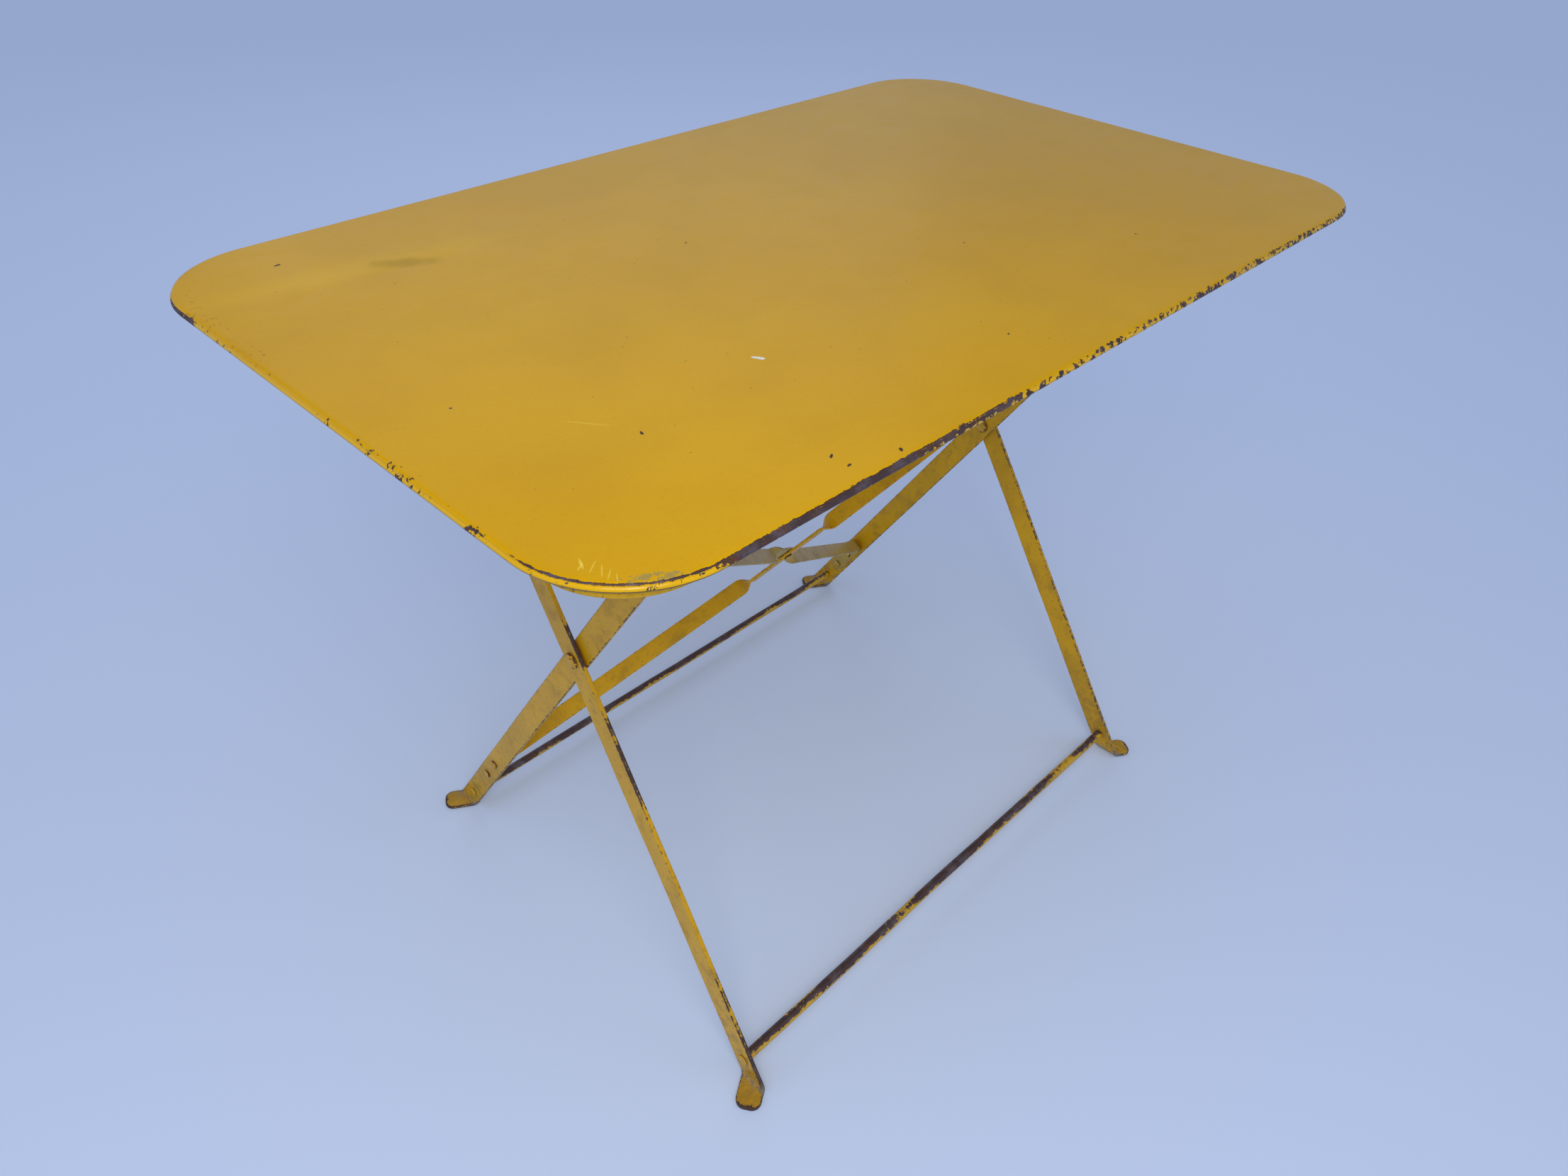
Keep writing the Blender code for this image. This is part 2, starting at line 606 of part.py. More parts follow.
# ---------------------------------------------------------------- the rods
def build_rod(name, radius, tenon_r, z, pair, paint):
    """A rod between two legs with a peened tenon through each."""
    leg_middle = leg_x(z, pair.cross_x)
    shoulder = leg_middle - LEG_T / 2 - LEG_FACE_GAP
    seat = leg_middle + LEG_T / 2 + LEG_FACE_GAP
    right_half = (dome((tenon_r + TENON_HEAD_OVERHANG, TENON_HEAD_HEIGHT), seat)
                  + [(tenon_r, seat), (tenon_r, shoulder), (radius, shoulder)])
    left_half = [(point_r, -height) for point_r, height in reversed(right_half)]
    turned(name, right_half + left_half, along_x(leg_y(z, pair.top_side), z, 1),
           paint, pair.axis, steps=20)


# -------------------------------------------------------------- the braces
# The inner frame's own plane: X, along its legs, and its normal.
INNER_ALONG = Vector((0.0, -SIN_A, COS_A))
INNER_NORMAL = Vector((1.0, 0.0, 0.0)).cross(INNER_ALONG)
FRAME_PLANE = (Matrix.Translation(CROSS)
               @ Matrix((Vector((1, 0, 0)), INNER_ALONG, INNER_NORMAL)).transposed().to_4x4())


def beside_leg(side, along):
    """Brace centre line against an inner leg's inner face, in the frame plane."""
    face_x = INNER_X_CROSS - LEG_T / 2 - along * math.tan(LEAN)
    return Vector((side * (face_x - (GAP + BRACE_T / 2)), along))


def fold_points(before, corner, after, steps=5):
    """A corner rounded with a short quadratic bend, the brace upright."""
    start = corner + (before - corner).normalized() * BRACE_FOLD_R
    end = corner + (after - corner).normalized() * BRACE_FOLD_R
    points = []
    for i in range(steps + 1):
        part = i / steps
        place = start * (1 - part) ** 2 + corner * 2 * part * (1 - part) + end * part ** 2
        points.append((place, 1.0, 0.0))
    return points


def twist_points(start, end, flattening, lift, steps=6):
    """An eased quarter twist that moves off the frame plane as it flattens."""
    points = []
    for i in range(steps + 1):
        part = i / steps
        ease = part * part * (3 - 2 * part)
        upright = (1 - ease) if flattening else ease
        points.append((start.lerp(end, part), upright, lift * (1 - upright)))
    return points


def brace_path(brace):
    """Centre line: place in the frame plane, uprightness 0 to 1, lift off the plane."""
    lift = brace.layer * (BRACE_T / 2 + BRACE_LAY_GAP)
    low_end = beside_leg(brace.start_side, brace.low_fold - BRACE_TAB)
    low = beside_leg(brace.start_side, brace.low_fold)
    high = beside_leg(-brace.start_side, brace.high_fold)
    high_end = beside_leg(-brace.start_side, brace.high_fold + BRACE_TAB)
    crossing = Vector(BRACE_CROSS)
    run = (high - low).normalized()
    flat_start, flat_end = crossing - run * brace.flat_until, crossing + run * brace.flat_until
    twist_start = crossing - run * brace.upright_from
    twist_end = crossing + run * brace.upright_from
    return ([(low_end, 1.0, 0.0)]
            + fold_points(low_end, low, twist_start)
            + twist_points(twist_start, flat_start, True, lift)
            + twist_points(flat_end, twist_end, False, lift)
            + fold_points(twist_end, high, high_end)
            + [(high_end, 1.0, 0.0)])


def brace_section(name):
    """The flat bar's outline, with its corners cut."""
    curve = bpy.data.curves.new(name, "CURVE")
    curve.dimensions = "2D"
    outline = curve.splines.new("POLY")
    half_w, half_t = BRACE_W / 2, BRACE_T / 2
    flat_w, flat_t = half_w - BRACE_ARRIS, half_t - BRACE_ARRIS
    ring = [(flat_w, half_t), (-flat_w, half_t), (-half_w, flat_t), (-half_w, -flat_t),
            (-flat_w, -half_t), (flat_w, -half_t), (half_w, -flat_t), (half_w, flat_t)]
    outline.points.add(len(ring) - 1)
    for point, (x, y) in zip(outline.points, ring):
        point.co = (x, y, 0.0, 1.0)
    outline.use_cyclic_u = True
    return make_helper(name, curve)


def build_brace(brace):
    curve = bpy.data.curves.new(brace.name, "CURVE")
    curve.dimensions = "3D"
    curve.twist_mode = "Z_UP"
    curve.bevel_mode = "OBJECT"
    curve.bevel_object = brace_section(brace.name + "_section")
    curve.use_fill_caps = True
    path = brace_path(brace)
    spline = curve.splines.new("POLY")
    spline.points.add(len(path) - 1)
    for point, (place, upright, lift) in zip(spline.points, path):
        point.co = (place.x, place.y, lift, 1.0)
        point.tilt = upright * math.pi / 2
    shape = curve_to_shape(curve, brace.name)
    bmesh.ops.transform(shape, matrix=FRAME_PLANE, verts=shape.verts)
    return make_part(shape, brace.name, PAINT_LEG, INNER)


def build_centre_rivet(brace_parts):
    """Through both braces where they lie flat on each other."""
    frame = FRAME_PLANE @ Matrix.Translation((*BRACE_CROSS, 0.0))
    seat = BRACE_T + BRACE_LAY_GAP + GAP
    turned("brace_centre_rivet", rivet_profile(CENTRE_SHANK_R, seat, -seat, CENTRE_HEAD),
           frame, RUSTY, INNER, steps=16)
    bore = make_cutter(cylinder(CENTRE_SHANK_R + GAP, 0.03, frame, 16), "brace_centre_bore")
    for part in brace_parts:
        boolean(part, bore)


def build_end_rivet(name, side, along, leg, brace_part):
    """A rivet square to the leg's face, through the leg and a brace's tab."""
    outward = Matrix.Identity(4) if side > 0 else Matrix.Rotation(math.pi, 4, "Z")
    frame = (leg_frame(side, INNER_PAIR) @ Matrix.Translation((0, 0, along))
             @ outward @ Matrix.Rotation(math.pi / 2, 4, "Y"))
    profile = rivet_profile(SMALL_SHANK_R, LEG_T / 2 + GAP, -LEG_T / 2 - BRACE_T - 2 * GAP,
                            BRACE_HEAD)
    turned(name, profile, frame, RUSTY, INNER, steps=12)
    bore = make_cutter(cylinder(SMALL_SHANK_R + GAP, 0.03, frame, 12), name + "_bore")
    boolean(leg, bore)
    boolean(brace_part, bore)


def build_braces(inner_legs):
    parts = [build_brace(brace) for brace in BRACES]
    build_centre_rivet(parts)
    for brace, part in zip(BRACES, parts):
        for end, side, fold, way in (("low", brace.start_side, brace.low_fold, -1),
                                     ("high", -brace.start_side, brace.high_fold, +1)):
            for letter, distance in zip("ab", BRACE_RIVETS):
                build_end_rivet(f"{brace.name}_{end}_rivet_{letter}", side,
                                fold + way * distance, inner_legs[side], part)


# --------------------------------------------------------------- the table
# The sheet comes first: making its bead also updates the axes' world
# matrices, which the turned pieces need when they are placed.
build_top_sheet()
build_rim_hoop()
inner_legs = {}
for side, tag in SIDES:
    build_underside(side, tag)
    # outer pads point outward, both inner pads point to -X
    build_drilled_leg(side, tag, OUTER_PAIR, pad_side=side)
    inner_legs[side] = build_drilled_leg(side, tag, INNER_PAIR, pad_side=-1)
    build_crossing(side, tag)
    build_hinge_pin(side, tag)

build_rod("outer_foot_rod", OUTER_ROD_R, OUTER_TENON_R, ROD_HEIGHT, OUTER_PAIR, BARE_STEEL)
build_rod("inner_foot_rod", INNER_ROD_R, INNER_TENON_R, ROD_HEIGHT, INNER_PAIR, PAINT_LEG)
build_rod("inner_top_rod", TOP_ROD_R, INNER_TENON_R, TOP_ROD_Z, INNER_PAIR, BARE_STEEL)
build_braces(inner_legs)
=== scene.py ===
"""A yellow folding metal garden table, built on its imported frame.

The floor is z = 0. The top's length lies along X and its width along Y. The legs cross in
the middle of the width: the outer frame has its feet at -Y and is hinged under the top at
+Y, the inner frame runs the other way. "Left" is -X and "right" is +X. Metres throughout.
"""

from collections import namedtuple
from functools import cached_property, reduce
import math
from types import SimpleNamespace

import bmesh
import bpy
from mathutils import Matrix, Vector
import numpy as np


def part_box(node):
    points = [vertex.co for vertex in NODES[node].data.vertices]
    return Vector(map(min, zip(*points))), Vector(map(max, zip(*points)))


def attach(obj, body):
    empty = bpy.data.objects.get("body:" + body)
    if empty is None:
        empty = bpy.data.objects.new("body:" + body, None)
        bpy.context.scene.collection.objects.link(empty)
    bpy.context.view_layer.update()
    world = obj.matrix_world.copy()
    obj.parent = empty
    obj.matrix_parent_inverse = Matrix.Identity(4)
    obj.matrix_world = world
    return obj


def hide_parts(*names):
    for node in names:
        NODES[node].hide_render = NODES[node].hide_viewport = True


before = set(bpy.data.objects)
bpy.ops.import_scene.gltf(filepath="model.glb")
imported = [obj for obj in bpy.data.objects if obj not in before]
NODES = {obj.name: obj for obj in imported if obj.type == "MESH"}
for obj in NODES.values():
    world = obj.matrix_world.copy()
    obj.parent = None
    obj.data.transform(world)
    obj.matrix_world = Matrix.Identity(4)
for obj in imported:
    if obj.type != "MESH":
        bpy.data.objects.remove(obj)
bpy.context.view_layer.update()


# ------------------------------------------------------------ dimensions
top_low, top_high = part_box("top_sheet")
hoop_low, hoop_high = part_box("rim_hoop")
RISE = top_high.z
LENGTH = top_high.x - top_low.x
WIDTH = top_high.y - top_low.y
CORNER_R = 0.088
BEAD_R = 0.0023
SHEET_T = 0.0012
HOOP_R = 0.064
HOOP_BAR_W = 0.018

LEG_W, LEG_T = 0.0265, 0.0045
LEG_TOP_Y, LEG_FOOT_Y = 0.2152, 0.2632
LEG_SPLAY = 0.0310            # run outward along X for each metre down
OUTER_X = 0.3216              # middle of the outer legs at the crossing
INNER_X = OUTER_X - LEG_T - 0.0024
PAD_LENGTH, PAD_TIP_R = 0.031, 0.010
FOLD_R = 0.0050
ROD_Z = 0.026
PIVOT_Z = RISE - 0.0280
TOP_ROD_Z = RISE - 0.0180
HALF_ANGLE = math.atan2(LEG_TOP_Y + LEG_FOOT_Y, RISE)
SIN_A, COS_A = math.sin(HALF_ANGLE), math.cos(HALF_ANGLE)
CROSS_Z = RISE * LEG_FOOT_Y / (LEG_TOP_Y + LEG_FOOT_Y)
LEAN = math.asin(LEG_SPLAY * COS_A)
RIVET_GAP = 0.0006            # clearance between a leg and a head or washer

# Each frame: X of its leg plane, and the side of Y its legs lean to at the top.
FRAMES = {"outer": (OUTER_X, +1), "inner": (INNER_X, -1)}


def leg_y(height, top_side):
    return top_side * (height - CROSS_Z) * math.tan(HALF_ANGLE)


def leg_x(height, plane_x):
    return plane_x - (height - CROSS_Z) * LEG_SPLAY


PIVOT_Y = leg_y(PIVOT_Z, +1)
TOP_ROD_Y = leg_y(TOP_ROD_Z, -1)


# ------------------------------------------------------------ shader graphs
class Value:
    """A node output; arithmetic on it adds nodes."""

    def __init__(self, graph, socket):
        self.graph, self.socket = graph, socket

    def __add__(self, other):
        return self.graph.math("ADD", self, other)

    def __mul__(self, other):
        return self.graph.math("MULTIPLY", self, other)

    def __sub__(self, number):
        return self + -number

    def __rsub__(self, number):
        return self.graph.math("SUBTRACT", number, self)

    def scaled(self, by, plus):
        return self.graph.math("MULTIPLY_ADD", self, by, plus)

    def most(self, other):
        return self.graph.math("MAXIMUM", self, other)

    def rise(self, low, high):
        """0 below low, 1 above high, smooth between."""
        node = self.graph.node("MapRange")
        node.interpolation_type = "SMOOTHSTEP"
        return self.graph.fill(node, {"Value": self, "From Min": low, "From Max": high})

    def fall(self, low, high):
        """1 below low, 0 above high, smooth between."""
        return 1.0 - self.rise(low, high)

    def past(self, limit, soft):
        """1 where this passes a limit, over a soft band."""
        return self.rise(limit, limit + soft)

    def pick(self, off, on):
        """The number off where this is 0, on where it is 1."""
        node = self.graph.node("Mix")
        node.data_type = "FLOAT"
        return self.graph.fill(node, {0: self, 2: off, 3: on})

    def pick_colour(self, off, on):
        node = self.graph.node("Mix")
        node.data_type = "RGBA"
        return self.graph.fill(node, {0: self, 6: off, 7: on}, output=2)

    def toward(self, colour, by):
        """This colour blended toward another."""
        return by.pick_colour(self, colour)


class Graph:
    """A node tree, written as expressions of Values."""

    def __init__(self, tree, coordinates="Object"):
        self.tree, self.coordinates = tree, coordinates

    def node(self, kind):
        return self.tree.nodes.new("ShaderNode" + kind)

    def put(self, socket, value):
        if isinstance(value, Value):
            self.tree.links.new(value.socket, socket)
        elif isinstance(value, tuple) and len(value) == 3 and socket.type == "RGBA":
            socket.default_value = (*value, 1.0)
        else:
            socket.default_value = value

    def fill(self, node, inputs, output=0):
        for key, value in inputs.items():
            self.put(node.inputs[key], value)
        return Value(self, node.outputs[output])

    @cached_property
    def coord(self):
        return Value(self, self.node("TexCoord").outputs[self.coordinates])

    @cached_property
    def axes(self):
        split = self.node("SeparateXYZ")
        self.put(split.inputs[0], self.coord)
        return [Value(self, socket) for socket in split.outputs]

    x = property(lambda self: self.axes[0])
    y = property(lambda self: self.axes[1])
    z = property(lambda self: self.axes[2])

    def math(self, operation, a, b=0.0, c=0.0):
        node = self.node("Math")
        node.operation = operation
        return self.fill(node, {0: a, 1: b, 2: c})

    def place(self, scale=(1, 1, 1), shift=(0, 0, 0), turn=0.0):
        return self.fill(self.node("Mapping"), {
            "Vector": self.coord, "Scale": scale, "Location": shift, "Rotation": (0, 0, turn)})

    def noise(self, scale, detail=3.0, rough=0.55, at=None, warp=0.0):
        return self.fill(self.node("TexNoise"), {
            "Vector": at or self.coord, "Scale": scale, "Detail": detail,
            "Roughness": rough, "Distortion": warp})

    def cells(self, scale):
        return self.fill(self.node("TexVoronoi"), {"Vector": self.coord, "Scale": scale},
                         output="Distance")

    def attribute(self, name):
        node = self.node("Attribute")
        node.attribute_name = name
        return Value(self, node.outputs["Fac"])

    def spot(self, x, y, long_r, short_r, turn, edge, soft):
        """1 inside an ellipse seen from above; edge is the noise that breaks its outline."""
        c, s = math.cos(turn), math.sin(turn)
        dx, dy = self.x - x, self.y - y
        u = dx.scaled(c / long_r, plus=dy * (s / long_r))
        v = dx.scaled(-s / short_r, plus=dy * (c / short_r))
        distance = self.math("SQRT", u.scaled(u, plus=v * v)) + edge
        return distance.fall(1.0 - soft, 1.0 + soft)


class Material(Graph):
    """A material with one Principled shader."""

    def __init__(self, name):
        self.material = bpy.data.materials.new(name)
        self.material.use_nodes = True
        super().__init__(self.material.node_tree)
        self.tree.nodes.clear()
        output = self.node("OutputMaterial")
        self.bsdf = self.node("BsdfPrincipled")
        self.tree.links.new(self.bsdf.outputs[0], output.inputs["Surface"])

    def bump(self, height_mm):
        normal = self.fill(self.node("Bump"),
                           {"Strength": 1.0, "Distance": 0.001, "Height": height_mm})
        self.put(self.bsdf.inputs["Normal"], normal)

    def finish(self, colour, rough, metal=0.0):
        self.fill(self.bsdf, {"Base Color": colour, "Roughness": rough, "Metallic": metal})
        return self.material


# ------------------------------------------------------------ bare steel
BARE = (0.072, 0.043, 0.044)
BARE_COOL = (0.118, 0.090, 0.100)
RUST = (0.150, 0.055, 0.018)
RUST_DARK = (0.045, 0.018, 0.010)


def bare_colour(g):
    """Old bare steel: purple-brown, with grey rub marks and rust blooms."""
    rub = g.noise(scale=55, detail=4, rough=0.6).rise(0.46, 0.66)
    bloom = g.noise(scale=120, detail=5, rough=0.65).rise(0.50, 0.68)
    pit = g.noise(scale=700, detail=3, rough=0.6).rise(0.55, 0.75)
    steel = rub.pick_colour(BARE, BARE_COOL).toward(RUST, by=bloom * 0.75)
    return steel.toward(RUST_DARK, by=pit * 0.6)


# ------------------------------------------------------------ enamel of the top
EDGE_X, EDGE_Y = -LENGTH / 2, -WIDTH / 2

GOLD, GOLD_DEEP = (0.730, 0.392, 0.0), (0.685, 0.360, 0.0)
# the second colour here is a painted highlight for the rolled bead
GOLD_CLOUD, GOLD_BEAD_HIGHLIGHT = (0.625, 0.325, 0.0), (0.80, 0.47, 0.0)
MOTTLE, SPECK = (0.50, 0.235, 0.0), (0.12, 0.060, 0.01)
# the second colour here is the painted shade of the top's far end
SCRATCH, FAR_SHADE = (0.82, 0.52, 0.03), (0.500, 0.290, 0.006)
# the first colour here is the painted shade, with some dirt, under the rolled bead
SEAM_SHADE_DIRT, WHITE_FLECK = (0.060, 0.030, 0.012), (0.86, 0.83, 0.72)

# Marks on the top: x, y, long radius, short radius, turn in radians.
STREAK = (-0.363, 0.198, 0.105, 0.016, -0.12)
SMUDGE = (-0.324, 0.184, 0.024, 0.0085, -0.55)
STAIN = (-0.4540, -0.2890, 0.020, 0.0055, -0.53)
FLECK = (-0.2248, -0.1392, 0.0060, 0.0019, -1.05)
CHIPS = (
    (-0.2861, -0.2691, 0.0026, 0.0012, 0.6), (-0.2860, -0.2844, 0.0020, 0.0010, 0.2),
    (-0.2467, -0.2947, 0.0023, 0.0011, 1.0), (-0.3573, -0.1637, 0.0024, 0.0011, 1.3),
    (-0.4059, 0.2469, 0.0034, 0.0014, 0.1), (-0.118, 0.061, 0.0014, 0.0008, 0.3),
    (0.071, -0.104, 0.0012, 0.0008, 2.0), (0.212, -0.196, 0.0016, 0.0007, 1.1),
    (-0.431, -0.052, 0.0013, 0.0009, 0.0), (-0.052, -0.241, 0.0015, 0.0008, 0.4),
)
# Short scratches near the -X -Y corner: a mark, then its strength.
CORNER_SCRATCHES = (
    ((-0.4745, -0.2510, 0.0050, 0.00080, 1.15), 0.75),
    ((-0.4765, -0.2530, 0.0030, 0.00060, 0.45), 0.6),
    ((-0.4720, -0.2580, 0.0055, 0.00045, 0.60), 0.55),
    ((-0.4700, -0.2640, 0.0060, 0.00045, 0.90), 0.55),
    ((-0.4690, -0.2695, 0.0050, 0.00045, 0.72), 0.5),
    ((-0.4680, -0.2750, 0.0040, 0.00040, 1.00), 0.5),
)
LONG_SCRATCH = ((-0.3870, -0.1150), (-0.3640, -0.1450))   # its two ends
LONG_SCRATCH_HALF_WIDTH = 0.0010


def top_fields(g):
    """Mesh attributes, noises and zones shared by the layers of the top's enamel."""
    t = SimpleNamespace()
    for name in ("crest", "bead", "low", "upper"):
        setattr(t, name, g.attribute(name))
    t.cloud = g.noise(scale=14, detail=4, rough=0.55)
    t.fine = g.noise(scale=230, detail=5, rough=0.62)
    t.grain = g.noise(scale=900, detail=3, rough=0.6)
    t.ragged = g.noise(scale=320, detail=3, rough=0.6).scaled(1.6, plus=-0.8)
    t.broken = (t.fine * 0.65 + t.grain * 0.35).scaled(3.4, plus=-1.7)
    t.run = g.noise(scale=17, detail=3, rough=0.6).scaled(2.4, plus=-1.2)
    # the -Y long edge clear of its left corner, the -X short edge, and the stretch
    # of the short edge toward +Y
    t.long_edge = g.y.fall(EDGE_Y + 0.012, EDGE_Y + 0.030) * g.x.rise(-0.432, -0.392)
    t.short_edge = g.x.fall(EDGE_X + 0.010, EDGE_X + 0.030) * g.y.rise(-0.235, -0.200)
    t.stretch = g.x.fall(-0.492, -0.482) * (g.y.rise(0.180, 0.200) * g.y.fall(0.240, 0.262))
    # along the middle of the long edge scraps of paint hang on under the bare crest
    t.scraps = t.long_edge * (g.x.rise(-0.26, -0.08) * t.low.rise(-0.40, -0.12))
    return t


def fine_scratches(g):
    """Long thin scratches in two directions."""
    marks = []
    for turn, shift in ((0.35, 0.0), (-0.9, 3.1)):
        drawn = g.place(scale=(1.0, 42.0, 1.0), shift=(shift, shift, 0), turn=turn)
        lines = g.noise(scale=60, detail=2, rough=0.5, at=drawn)
        gate = g.noise(scale=9, detail=2, rough=0.5, at=g.place(shift=(shift, 2, 0)))
        marks.append(lines.rise(0.735, 0.765) * gate.rise(0.50, 0.62))
    return reduce(Value.most, marks)


def top_film(g, t):
    """The golden film with its clouds, mottle, specks and scratches."""
    broad = g.noise(scale=3.2, detail=2, rough=0.5)
    paint = broad.rise(0.35, 0.65).pick_colour(GOLD, GOLD_DEEP)
    paint = paint.toward(GOLD_CLOUD, by=t.cloud.rise(0.42, 0.70) * 0.30)
    # painted highlight: the rolled bead is painted a lighter gold, as where it catches the light
    paint = paint.toward(GOLD_BEAD_HIGHLIGHT, by=t.bead * 0.5)
    mottle = g.noise(scale=420, detail=3, rough=0.7).rise(0.50, 0.78)
    paint = paint.toward(MOTTLE, by=mottle * 0.22)
    specks = g.cells(scale=95).fall(0.040, 0.080) * g.noise(scale=31, detail=2).rise(0.53, 0.60)
    paint = paint.toward(SPECK, by=specks * 0.70)
    return paint.toward(SCRATCH, by=t.scratches * 0.30)


def top_marks(g, t, paint):
    """A bright streak, a grey smudge, a grey-green stain, scratches and a reddish band."""
    soft_edge = g.noise(scale=60, detail=3, rough=0.6).scaled(1.4, plus=-0.7)
    streak = g.spot(*STREAK, edge=soft_edge, soft=0.9)
    paint = paint.toward((0.86, 0.50, 0.0), by=streak * 0.40)
    t.smudge = t.upper * g.spot(*SMUDGE, edge=soft_edge, soft=0.7)
    paint = paint.toward((0.34, 0.25, 0.10), by=t.smudge * 0.42)
    stain = g.spot(*STAIN, edge=t.ragged * 1.2, soft=0.25)
    stain = stain * (t.crest.fall(0.2, 0.7) * t.bead.fall(0.05, 0.3))
    stain = stain * g.noise(scale=240, detail=4, rough=0.65).rise(0.44, 0.54)
    paint = paint.toward((0.27, 0.25, 0.09), by=stain * 0.70)

    for mark, strength in CORNER_SCRATCHES:
        line = g.spot(*mark, edge=t.ragged * 0.6, soft=0.3)
        paint = paint.toward((0.88, 0.66, 0.09), by=line * t.upper * strength)
    (ax, ay), (bx, by) = LONG_SCRATCH
    line = g.spot((ax + bx) / 2, (ay + by) / 2, math.hypot(bx - ax, by - ay) / 2,
                  LONG_SCRATCH_HALF_WIDTH, math.atan2(by - ay, bx - ax),
                  edge=t.ragged * 0.8, soft=0.3)
    paint = paint.toward((0.86, 0.60, 0.06), by=line * 0.30)

    band = (g.attribute("near").rise(0.10, 0.45) * g.x.fall(-0.480, -0.470)
            * (g.y.rise(0.070, 0.110) * g.y.fall(0.235, 0.262)))
    blotch = g.noise(scale=340, detail=4, rough=0.7, at=g.place(scale=(1.0, 0.55, 1.0)))
    red = band * t.upper * blotch.rise(0.585, 0.635)
    return paint.toward((0.42, 0.115, 0.006), by=red * 0.60)


def worn_rim_crest(g, t):
    """Bare steel on the raised line just inside the rim."""
    seen = g.x.fall(EDGE_X + 0.06, EDGE_X + 0.11).most(g.y.fall(EDGE_Y + 0.02, EDGE_Y + 0.04))
    limit = t.short_edge.scaled(0.80, plus=t.long_edge.scaled(-0.16, plus=0.56))
    limit = (1.0 - seen).scaled(0.25, plus=limit)
    limit = t.scraps.scaled(0.70, plus=limit)
    level = t.crest + t.broken * 0.9 + t.run * 0.55
    return level.past(limit, soft=0.14) * t.crest.rise(0.05, 0.25)


def worn_rim_bead(g, t):
    """Bare steel on the rolled bead, most of it on the long edge at -Y."""
    far_corner = g.x.fall(EDGE_X + 0.030, EDGE_X + 0.075) * g.y.rise(-EDGE_Y - 0.13,
                                                                   -EDGE_Y - 0.06)
    near_corner = g.x.fall(-0.430, -0.395) * g.y.fall(-0.235, -0.190)
    elsewhere = t.stretch.scaled(-1.15, plus=far_corner.scaled(-0.12, plus=0.80))
    elsewhere = near_corner.scaled(-0.44, plus=elsewhere)
    underside = t.low * g.x.rise(-0.30, -0.05).scaled(2.4, plus=1.0)
    along_edge = g.x.rise(-0.15, 0.40).scaled(0.35, plus=underside - 0.90)
    limit = t.long_edge.pick(off=elsewhere, on=along_edge)
    limit = t.scraps.scaled(1.15, plus=limit)
    level = t.broken + t.run * 0.8
    return level.past(limit, soft=0.14) * t.bead.rise(0.10, 0.35)


def worn_margin(g, t):
    """Chips scattered over the flat near the rim, clustered along the short edge."""
    near = g.attribute("near").most(0.0)
    cluster = (t.short_edge.most(t.stretch) * near.rise(0.42, 0.86)) * t.run.rise(-0.25, 0.45)
    limit = (near.scaled(-0.05, plus=0.745)
             + near.rise(0.72, 0.96) * t.long_edge.scaled(-0.16, plus=-0.05))
    limit = cluster.scaled(-0.155, plus=limit)
    level = t.fine * 0.6 + g.noise(scale=75, detail=4, rough=0.6) * 0.4
    return t.upper * level.past(limit, soft=0.02)


def make_top_paint():
    g = Material("golden_enamel")
    t = top_fields(g)
    t.scratches = fine_scratches(g)
    paint = top_marks(g, t, top_film(g, t))

    chips = reduce(Value.most, [g.spot(*mark, edge=t.ragged, soft=0.12) for mark in CHIPS])
    chips = chips * t.upper
    fleck = t.upper * g.spot(*FLECK, edge=t.ragged, soft=0.12)
    worn = worn_rim_crest(g, t).most(worn_rim_bead(g, t)).most(worn_margin(g, t).most(chips))

    # painted shade: the top is painted darker and greyer toward its far +X +Y end, where less
    # light reaches it
    far_shade = (g.x.scaled(0.85, plus=g.y * 0.5) + t.cloud * 0.25).rise(-0.30, 0.75)
    paint = paint.toward(FAR_SHADE, by=far_shade * 0.55)
    # painted shade: the dark line where the bead curls back under the sheet, the shade of the
    # gap above the hoop, with some dirt
    seam_shade_dirt = (t.low + t.broken * 0.05).rise(0.38, 0.47) * t.long_edge.scaled(-0.85, plus=1.0)
    seam_shade_dirt = seam_shade_dirt * t.run.rise(-0.42, -0.12)
    paint = paint.toward(SEAM_SHADE_DIRT, by=seam_shade_dirt * 0.80)
    colour = paint.toward(bare_colour(g), by=worn).toward(WHITE_FLECK, by=fleck)

    smear = g.noise(scale=26, detail=4, rough=0.6, at=g.place(scale=(1.0, 2.2, 1.0)))
    rough = worn.pick(off=smear.scaled(0.20, plus=0.22), on=0.50)
    rough = t.smudge.pick(off=rough, on=0.62)
    rough = (t.bead * (1.0 - worn)).pick(off=rough, on=0.14)
    # film texture, then the thickness of the film, less the depth of the scratches
    height = t.grain.scaled(0.006, plus=g.noise(scale=130, detail=2) * 0.030)
    g.bump(height + (1.0 - worn.most(fleck)) * 0.12 + t.scratches * -0.02)
    tint = t.bead.pick_colour((1.0, 0.80, 0.10), (1.0, 1.0, 0.95))
    g.fill(g.bsdf, {"IOR": 1.35, "Specular Tint": tint})
    return g.finish(colour, rough, metal=worn * 0.35)


